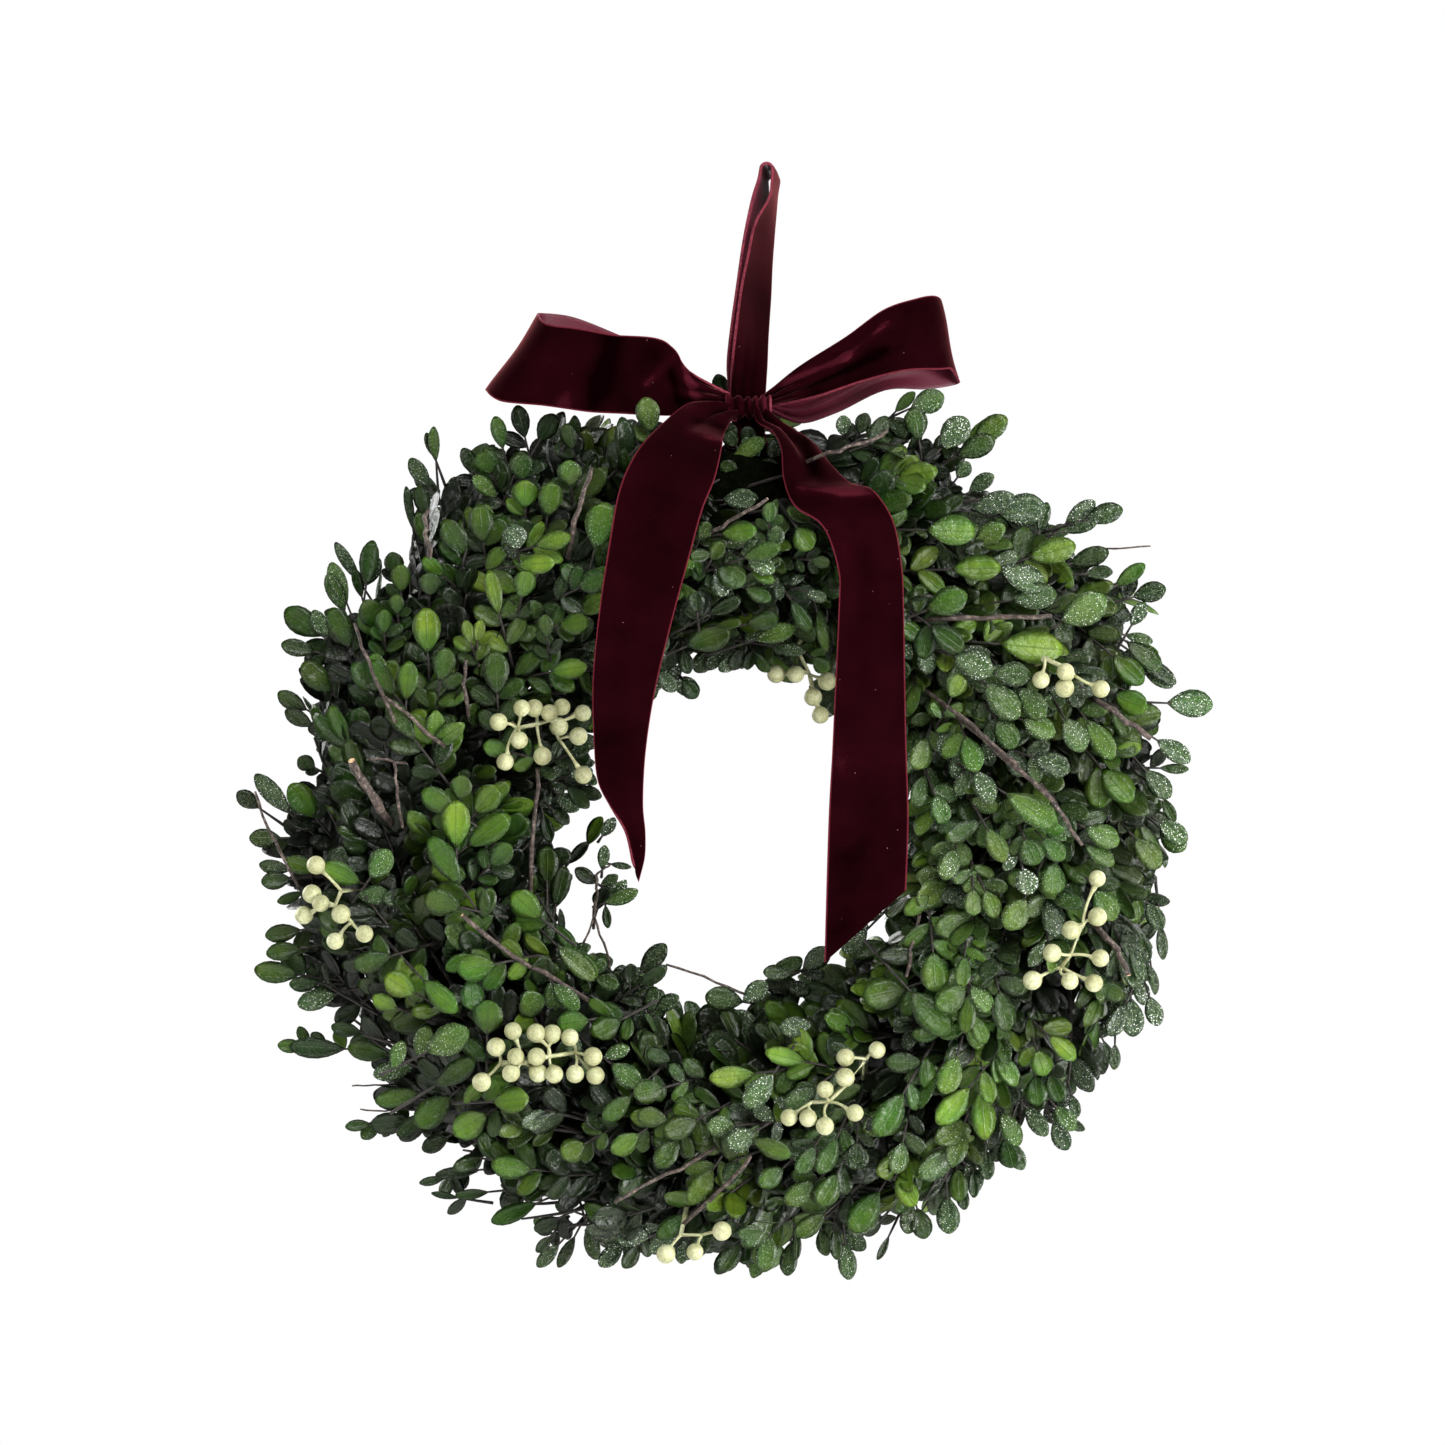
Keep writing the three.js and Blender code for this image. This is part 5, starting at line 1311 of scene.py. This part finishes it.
# Leaves that stand out on the foliage's face, as seen from the front: tip x and z, base x and z,
# half width, greenness and frost.
FACE_LEAVES = [
    # Upper left.
    (-172.5, -218.8, -171.8, -241.3, 6.9, 0.9, 0.1), (-180.5, -245.5, -182.5, -265, 5.3, 0.8, 0.1),
    (-161.8, -238.8, -165.5, -255.5, 5.5, 0.6, 0.1), (-193.5, -219.5, -193.5, -232, 4, 0.7, 0),
    (-187.5, -212, -187, -222, 3.8, 0.6, 0), (-234.3, -246.3, -220, -261.3, 6, 0.6, 0.1),
    (-220, -218.8, -210.5, -238.8, 6, 0.55, 0.1), (-191.8, -265, -178, -285, 5, 0.5, 0.2),
    (-200.5, -245, -188, -262.5, 5, 0.6, 0.1), (-185, -197, -185, -211, 5, 0.7, 0.1),
    (-174, -194, -164, -203, 4, 0.85, 0.2), (-170, -201, -171, -213, 5.5, 0.5, 0.1),
    (-123, -155, -123, -169, 6.5, 0.85, 0.15), (-109, -156, -112, -173, 6, 0.75, 0.15),
    (-101, -145, -100, -158, 6, 0.75, 0.45), (-82, -166, -88, -189, 8, 0.8, 0.35),
    (-125, -142, -124, -155, 6.5, 0.5, 0.3), (-145, -141, -140, -152, 6.5, 0.65, 0.1),
    (-149, -153, -137, -164, 4, 0.75, 0.5), (-146, -167, -144, -186, 6, 0.6, 0.1),
    (-129, -177, -127, -190, 6, 0.3, 0.8), (-100, -183, -118, -188, 4.5, 0.85, 0.3),
    (-108, -196, -127, -198, 5, 0.9, 0.2), (-141, -200, -136, -222, 4, 0.85, 0.2),
    (-122, -200, -125, -214, 5.5, 0.75, 0.1), (-82, -203, -96, -209, 6, 0.6, 0.2),
    (-91, -226, -106, -228, 5.5, 0.75, 0.1), (-113, -222, -112, -234, 4, 0.55, 0.1),
    (-92, -248, -110, -251, 5, 0.9, 0.1), (-138, -240, -137, -262, 6.5, 0.5, 0.1),
    (-153, -225, -150, -237, 3, 0.8, 0.1), (-145, -225, -147, -236, 3, 0.9, 0.1),
    (-103, -127, -99, -140, 4.5, 0.45, 0.1),
    # Left.
    (-190.5, -340, -200.5, -353.8, 6, 0.75, 0.6), (-224.3, -347.5, -205.5, -356.3, 5.5, 0.85, 0.2),
    (-174.3, -310, -158, -321.3, 6, 0.7, 0.1), (-154.3, -302.5, -155.5, -315, 5.5, 0.65, 0.1),
    (-136.8, -308, -148, -321.3, 6.5, 0.75, 0.1), (-157.5, -315, -157.5, -338.8, 7, 1.0, 0.15),
    (-130.5, -322.5, -151.8, -338, 6.5, 0.75, 0.1), (-170.5, -333, -155.5, -357.5, 6, 0.7, 0.1),
    (-130, -337, -140.5, -347.5, 5.5, 0.6, 0.1), (-173.5, -363.8, -155, -368.8, 7, 0.6, 0.1),
    (-129.3, -361.3, -115.5, -373.8, 7, 0.85, 0.1), (-144, -287.5, -130.5, -291, 4.5, 0.75, 0.1),
    # Lower left.
    (-209, -398, -190, -393, 5.5, 0.5, 0.1), (-193, -403, -178, -412, 6.5, 0.9, 0.1),
    (-199, -413, -187, -419, 4.5, 0.9, 0.1), (-157, -421, -174, -405, 5.5, 0.85, 0.15),
    (-157, -400, -138, -397, 7, 0.8, 0.1), (-149, -420, -150, -404, 6, 0.65, 0.1),
    (-141, -415, -142, -432, 7.5, 0.7, 0.05), (-151, -430, -172, -441, 7.5, 0.75, 0.6),
    (-148, -445, -168, -458, 5.5, 0.45, 0.1), (-178, -478, -160, -463, 7, 0.6, 0.1),
    (-159, -482, -142, -472, 7, 0.8, 0.15), (-121, -464, -139, -466, 6.5, 0.85, 0.1),
    (-140, -497, -120, -500, 6, 0.75, 0.15), (-107, -427, -91, -425, 6, 0.75, 0.05),
    (-90, -432, -75, -425, 6, 0.65, 0.1), (-96, -420, -109, -407, 5, 0.7, 0.5),
    (-105, -493, -93, -487, 6, 0.7, 0.05), (-80, -491, -66, -482, 5.5, 0.8, 0.2),
    (-65, -458, -80, -447, 5.5, 0.65, 0.6), (-84, -475, -70, -463, 5, 0.6, 0.1),
    (-88, -405, -107, -388, 5, 0.7, 0.6),
    # Bottom.
    (-3, -441, 17, -446, 4.5, 1.0, 0.1), (-31, -454, -8, -452, 5.5, 0.95, 0.45),
    (-13, -469, 1, -452, 6, 0.55, 0.8), (-69, -462, -54, -459, 6, 0.6, 0.3),
    (-67, -472, -52, -475, 5, 0.6, 0.1), (-54, -482, -37, -475, 6, 0.55, 0.1),
    (-57, -499, -47, -485, 5.5, 0.55, 0.3), (-32, -478, -18, -478, 5.5, 0.6, 0.6),
    (-22, -488, -8, -481, 6, 0.45, 0.8), (10, -493, -9, -485, 5, 0.7, 0.2),
    (-6, -508, 6, -499, 5, 0.65, 0.3), (-41, -517, -29, -500, 5.5, 0.75, 0.3),
    (7, -517, 22, -506, 5.5, 0.65, 0.4), (24, -518, 33, -502, 6, 0.65, 0.15),
    (13, -502, 22, -488, 4.5, 0.55, 0.3), (24, -502, 33, -484, 5, 0.6, 0.3),
    (-57, -534, -41, -522, 5, 0.6, 0.1), (12, -533, 27, -522, 5, 0.6, 0.2),
    (40, -531, 54, -511, 7, 0.7, 0.2), (42, -500, 43, -486, 6.5, 0.25, 0.3),
    (7, -469, 22, -459, 5.5, 0.5, 0.5),
    # Lower right.
    (46, -414, 67, -409, 8, 0.65, 0.1), (82, -411, 81, -391, 7, 0.75, 0.2),
    (95, -409, 97, -393, 4, 0.75, 0.2), (89, -432, 70, -411, 8, 0.6, 0.2),
    (83, -420, 97, -408, 6.5, 0.7, 0.2), (110, -421, 100, -408, 5, 0.8, 0.6),
    (97, -432, 99, -412, 4.5, 0.65, 0.1), (107, -437, 101, -422, 4.5, 0.75, 0.2),
    (118, -431, 114, -410, 6, 0.5, 0.1), (83, -477, 99, -459, 6, 1.0, 0.25),
    (86, -462, 93, -443, 6, 0.9, 0.5), (110, -467, 106, -450, 4.5, 0.85, 0.2),
    (107, -485, 105, -459, 6, 0.9, 0.2), (137, -453, 133, -440, 5.5, 0.85, 0.1),
    (152, -445, 139, -433, 5, 0.95, 0.2), (133, -468, 132, -453, 5.5, 0.6, 0.1),
    (145, -466, 139, -452, 5, 0.5, 0.1), (152, -480, 142, -468, 5, 0.7, 0.6),
    (124, -488, 115, -471, 5, 0.7, 0.5), (121, -499, 117, -484, 6, 0.45, 0.1),
    (94, -516, 93, -499, 5, 0.6, 0.1), (62, -502, 66, -486, 5, 0.65, 0.5),
    (52, -483, 66, -462, 7, 0.7, 0.2),
    # Right.
    (102.5, -181, 78, -180, 8, 0.9, 0.45), (115, -199, 90.6, -199.5, 6.5, 0.85, 0.05),
    (152.5, -187.5, 129, -194, 6.5, 0.9, 0.45), (146, -240, 115, -237, 8.5, 1.0, 0.35),
    (167.5, -213.5, 145, -226.5, 8, 0.75, 0.75), (98, -212, 78, -220, 7, 0.65, 0.3),
    (96, -240, 80, -228, 6, 0.5, 0.05), (188, -270, 172, -262, 6.5, 0.8, 0.05),
    (186, -257, 171, -243, 6, 0.7, 0.15), (195, -250, 178, -236, 5.5, 0.5, 0.3),
    (187, -197, 172, -208, 4, 0.7, 0.1), (137, -209, 115, -199, 7, 0.5, 0.8),
    (143, -212, 121, -215, 7, 0.5, 0.6), (124, -274, 107, -257, 7, 0.6, 0.6),
    (137, -274, 124, -259, 6.5, 0.6, 0.45), (111, -251, 91, -243, 7, 0.45, 0.8),
    (130, -253, 111, -251, 6, 0.5, 0.7), (95, -252, 90, -264, 5, 0.85, 0.4),
    (137, -168, 113, -172, 8, 0.3, 0.9), (122, -163, 100, -170, 5.5, 0.2, 0.7),
    (117, -124, 95, -140, 6, 0.8, 0.2), (98, -124, 85, -139, 7, 0.4, 0.9),
    # Between the tails.
    (-7, -180, -25, -182, 5.3, 0.75, 0.05), (-0.5, -166, -1, -177, 3.8, 0.6, 0.1),
    (20, -190, 13, -179, 5.8, 0.8, 0.05), (-41, -194, -30, -192, 3.5, 0.5, 0.2),
    (-24, -186, -30, -195, 4, 0.6, 0.2), (4, -178, 0, -190, 4.5, 0.4, 0.5),
    (5, -188, -14, -194, 4.5, 0.6, 0.2), (2, -201, -12, -194, 4.5, 0.55, 0.9),
    (1.5, -206, -10, -200, 3.5, 0.75, 0.1), (-13, -207, -27, -199, 6.5, 0.55, 0.05),
    (-23, -213, -28, -201, 5, 0.2, 0.8), (0, -215, -13, -209, 4, 0.55, 0.1),
    (-38, -211, -37, -221, 4.5, 0.3, 0.2), (-15, -214, -31, -222, 4, 0.25, 0.1),
    (-20, -229, -42, -238, 7.5, 0.55, 0.05), (-14.5, -226, -28, -228, 3, 0.55, 0.1),
    (4, -224, -12, -227, 4.5, 0.5, 0.1), (12.5, -229, -8, -235, 4.7, 0.8, 0.5),
    (20, -231, 10, -215, 4, 0.55, 0.1), (28, -241, 23, -221, 3, 0.65, 0.2),
    (-1, -251, -8, -241, 3.5, 0.55, 0.1), (29, -250, 21, -244, 4.5, 0.65, 0.1),
    (17, -241, 1, -238, 3.5, 0.4, 0.6), (30, -197, 20, -195, 3, 0.5, 0.1),
    (28, -215, 18, -211, 3, 0.3, 0.9),
    # The right of the ring.
    (103, -301, 97, -283, 6, 0.85, 0.5), (111, -316, 102, -300.5, 5.5, 0.45, 1.0),
    (143, -327.5, 118, -312, 7, 0.85, 0.5), (171.5, -294.5, 158, -275, 5.5, 0.8, 0.5),
    (117, -346, 108, -329, 5, 0.75, 0.45), (133, -347.5, 127, -334, 6.5, 0.6, 0.3),
    (146.5, -345, 136, -334, 5, 0.7, 0.5), (174, -337, 157.5, -329, 6, 0.8, 0.5),
    (171.5, -347.5, 157, -337.5, 4.5, 0.7, 0.5), (86, -355, 92, -339, 5.5, 0.7, 0.5),
    (139.5, -363, 142, -346, 6.5, 0.7, 0.4), (118, -380, 127, -364, 6.5, 0.8, 0.5),
    (101, -373, 101, -359.5, 5, 0.75, 0.4), (113, -374, 107, -360, 4.5, 0.8, 0.45),
    (172, -375, 162, -360, 6.5, 0.75, 0.5), (129.5, -362.5, 126, -349, 5.5, 0.45, 1.0),
    (194.5, -349, 182, -334, 6, 0.7, 0.5), (207, -340, 194.5, -329, 6, 0.7, 0.5),
    (122, -289, 113, -275, 6, 0.6, 0.45), (142, -282.5, 126, -275, 5.5, 0.75, 0.5),
    (156, -291, 147, -274, 6.5, 0.6, 0.6), (72, -300, 78, -284, 6, 0.75, 0.5),
    (72, -319, 77, -302.5, 5.5, 0.6, 0.5), (87, -327.5, 82, -312.5, 5, 0.75, 0.5),
    (87, -335, 104.5, -326, 4.5, 0.55, 0.3), (149.5, -300.5, 132, -294, 6, 0.35, 0.6),
]


# Gaps in the outline where the wall shows, as seen from the front: x, z and half width.
WALL_GAPS = [
    # Left, from the top down.
    (-175, -142, 4), (-161, -143, 4), (-157, -148, 2), (-166, -152, 2), (-190, -174, 6), (-188, -187, 6),
    (-226, -211, 5), (-231, -218, 3), (-208, -215, 3), (-242, -247, 4), (-239, -255, 3), (-238, -283, 4),
    (-235, -292, 5), (-237, -300, 3), (-260, -323, 3), (-249, -324, 3), (-252, -362, 6), (-239, -377, 3),
    (-241, -416, 8), (-222, -425, 3), (-237, -446, 3), (-217, -449, 6), (-206, -451, 4), (-201, -472, 3),
    (-172, -490, 3), (-161, -494, 4), (-142, -507, 5), (-143, -519, 3), (-125, -531, 5), (-116, -520, 2),
    (-98, -523, 3), (-93, -541, 4), (-64, -554, 7), (-48, -551, 4), (-34, -551, 5),
    # Round the hole.
    (-98, -366, 7), (-97, -378, 6), (-88, -384, 3), (-90, -345, 4), (-76, -335, 5), (-100, -334, 5),
    (-90, -322, 5), (-76, -368, 4), (-74, -391, 4), (-76, -344, 3), (-47, -404, 4), (-41, -408, 4),
    (-11, -403, 7), (-5, -397, 5), (10, -262, 4), (-50, -264, 3), (21, -390, 3), (53, -379, 3),
    (-9, -256, 5), (-40, -252.5, 2), (-28, -255, 5),
    # Right, from the top down.
    (58, -117, 7), (28, -128, 3), (85, -127, 3), (104, -148, 4), (96, -154, 2), (115, -155, 4),
    (126, -157, 4), (144, -169, 5), (158, -183, 4), (171, -199, 3), (186, -225, 4), (182, -230, 3),
    (198, -261, 3), (190, -260, 3), (202, -282, 3), (202, -305, 5), (207, -343, 4), (205, -370, 4),
    (203, -317, 4), (200, -387, 4), (197, -399, 4), (196, -411, 4), (185, -427, 3), (183, -438, 6),
    (180, -447, 5), (158, -468, 3), (134, -492, 7), (129, -483, 3), (123, -505, 5), (112, -501, 2),
    (103, -520, 4), (95, -527, 4), (79, -538, 4), (63, -533, 3), (61, -542, 6), (72, -516, 2),
    (22, -545, 5), (17, -538, 3),
]


def at_depth(x, y, z):
    """The point at depth y that the viewer sees in line with x, z at the ring."""
    nearer = 1 + y * MM / CAMERA_DISTANCE
    return np.array([VIEW_X + (x - VIEW_X) * nearer, y, VIEW_Z + (z - VIEW_Z) * nearer])


def face_depth(x, z):
    """The y of the foliage's front face."""
    radius = math.hypot(x - CENTRE_X, z - CENTRE_Z)
    out = radius - HEART_RADIUS
    outer = float(outline_at(math.atan2(z - CENTRE_Z, x - CENTRE_X))) - HEART_RADIUS
    share = out / outer if out > 0 else -out / (HEART_RADIUS - HOLE_RADIUS)
    return HEART_Y - FRONT_REACH * math.sqrt(max(1 - share * share, 0.04)) - 2


for x, z, half in WALL_GAPS:
    gap = at_depth(x, -20, z)
    cover(np.array([gap[0], SHUT_ALL_THROUGH, gap[2]]), half)

# The leaves beside and behind each placed leaf: to which side, and how many of its lengths back.
COMPANIONS = [(1, 0.1), (-1, 0.25), (1, 0.7), (-1, 0.85), (1, 1.4)]
placed = []
for number, row in enumerate(EDGE_LEAVES + FACE_LEAVES):
    tip_x, tip_z, base_x, base_z, half, green, last = row
    if number < len(EDGE_LEAVES):
        y, frost = last, None
        # Painted light: the leaves of the left rim are painted greener and lighter.
        green += 0.12 * (tip_x < -120)
    else:
        y = face_depth((tip_x + base_x) / 2, (tip_z + base_z) / 2) + 3 * (GOLDEN * number % 1)
        frost = last
    tip = at_depth(tip_x, y - 1.5, tip_z)
    base = at_depth(base_x, y + 1.5, base_z)
    placed.append((base, tip, half, green, frost))
    for share in np.linspace(0.1, 0.95, 6):
        cover(base + (tip - base) * share + [0, 1, 0], 0.7 * half)


def bunch_at(x, z):
    """The bunch in whose part of the ring a place lies."""
    turn = math.pi / 2 + BUNCH_WIDTH / 2 - math.atan2(z - CENTRE_Z, x - CENTRE_X)
    return int((turn % (2 * math.pi)) // BUNCH_WIDTH)


for index in range(BUNCHES):
    source = random.Random(700 + index)
    bunch = Bunch()
    start = math.pi / 2 - (index - 0.5) * BUNCH_WIDTH
    core_points, core_faces = core_wedge(start)
    bunch.put(core_points, core_faces, [bunch.CORE] * len(core_faces))

    for i in range(TWIGS_PER_BUNCH):
        share = (i + source.random()) / TWIGS_PER_BUNCH
        bearing = math.radians(-50 + 268 * share)
        angle = start - BUNCH_WIDTH * ((i * GOLDEN + 0.15 * source.random()) % 1)
        depth_share = source.choice(
            (source.uniform(0.93, 1.05), source.uniform(0.8, 0.94), source.uniform(0.66, 0.8))
        )
        grow_twig(bunch, bearing, angle, depth_share, source)

    # Stems that lie along the back of the bunch, under the wire.
    for i in range(STEMS_PER_BUNCH):
        bearing = math.radians(-128 + 76 * (i + source.random()) / STEMS_PER_BUNCH)
        a0 = start + source.uniform(-0.04, 0.1)
        a1 = a0 - source.uniform(0.4, 0.62)
        path = []
        for t in np.linspace(0, 1, 9):
            angle = a0 + (a1 - a0) * t
            reach = oval_reach(bearing, CORE_HALF_WIDTH + 2, CORE_HALF_DEPTH + 2 + 8 * t)
            place_mm = on_wreath(HEART_RADIUS, angle, HEART_Y)
            place_mm += bearing_direction(angle, bearing) * (reach + 1.2 * math.sin(5 * t + i))
            radius = math.hypot(place_mm[0] - CENTRE_X, place_mm[2] - CENTRE_Z)
            if abs(radius - RING_RADIUS) < CHANNEL_HALF_WIDTH - 1:
                place_mm[1] = min(place_mm[1], RING_Y - CHANNEL_DEPTH + 0.5)
            path.append(place_mm)
        path = slot_for_strap(np.array(path))
        bunch.put_stem(path, np.linspace(1.9, 1.0, 9), 6, shade=0.3)

    for root, tip, radius, cut in BARE_TWIGS:
        if bunch_at((root[0] + tip[0]) / 2, (root[2] + tip[2]) / 2) != index:
            continue
        inside = np.array(root) + (np.array(root) - np.array(tip)) * 0.35 + [0, 8 * radius, 0]
        path = bend(root, tip, [source.uniform(-1.5, 1.5), -0.8, source.uniform(-1.5, 1.5)], 7)
        kink = 0.6 * min(radius, 1) ** 2
        path[1:-1] += [[source.gauss(0, kink) for _ in "xyz"] for _ in path[1:-1]]
        path = np.vstack([inside, path])
        bunch.put_stem(path, 0.82 * radius * KNOBS, 8, cut_end=cut, shade=0.0)

    for base, tip, half, green, frost in placed:
        if bunch_at(*((base + tip) / 2)[[0, 2]]) != index:
            continue
        ahead = tip - base
        length = np.linalg.norm(ahead)
        facing = np.array([source.gauss(0, 0.15), -1.0, source.gauss(0, 0.15)])
        blade = (length, half, source.uniform(0.4, 1.8), 0.0, 0.95)
        if frost is None:
            frost = twig_tint(source, math.atan2(tip[2] - CENTRE_Z, tip[0] - CENTRE_X))[1]
        bunch.add_leaf(base, ahead, facing, blade, (green, min(frost, 0.9), 1))
        in_hole = math.hypot(base[0] - CENTRE_X, base[2] - CENTRE_Z) < HOLE_RADIUS
        inside = base - ahead * (0.3 if in_hole else 1.2) + [0, 14 if base[1] < -30 else 3, 0]
        stalk = bend(inside, base + ahead * 0.1, [0, -0.5, 0], 5)
        bunch.put_stem(stalk, np.linspace(0.9, 0.5, 5), 5)
        # The leaves beside and behind it on its twig.
        across = np.cross(ahead, facing)
        for turn, place_back in COMPANIONS:
            spread = math.radians(source.uniform(38, 62))
            forward = ahead * math.cos(spread) + across * turn * math.sin(spread)
            size = min(length, 19) * source.uniform(0.72, 0.95)
            half_size = size * source.uniform(0.26, 0.35)
            cup = source.uniform(0.2, 1.2)
            root = base - ahead * place_back + [0, 4 + 3 * place_back, 0]
            tilted = facing + [source.gauss(0, 0.25), 0, source.gauss(0, 0.25)]
            shade = min(max(green + source.gauss(-0.08, 0.12), 0), 1)
            bunch.add_leaf(root, forward, tilted, (size, half_size, cup, 0.05, 1.0), (shade, frost, 0))

    bunch.put_leaves()
    name = f"foliage_bunch_{index + 1:02d}"
    materials = (*leaf_materials, twig_bark, cut_wood, shade_dark_packed_stems)
    foliage = new_piece(name + "_leaves", bunch.points, bunch.faces, materials)
    mesh = foliage.data
    mesh.polygons.foreach_set("material_index", bunch.slots)
    mesh.polygons.foreach_set("use_smooth", [slot != Bunch.CUT for slot in bunch.slots])
    tint_attribute = mesh.color_attributes.new("leaf_tint", "FLOAT_COLOR", "POINT")
    tints = np.vstack(bunch.tints)
    tint_attribute.data.foreach_set(
        "color", np.column_stack([tints, np.ones(len(tints))]).astype(np.float32).ravel()
    )
    uv_layer = mesh.uv_layers.new(name="leaf")
    loop_points = np.empty(len(mesh.loops), np.int32)
    mesh.loops.foreach_get("vertex_index", loop_points)
    uv_layer.data.foreach_set("uv", np.vstack(bunch.uvs)[loop_points].ravel())
    mesh.update()
    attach(foliage, "root")
    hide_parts(name)
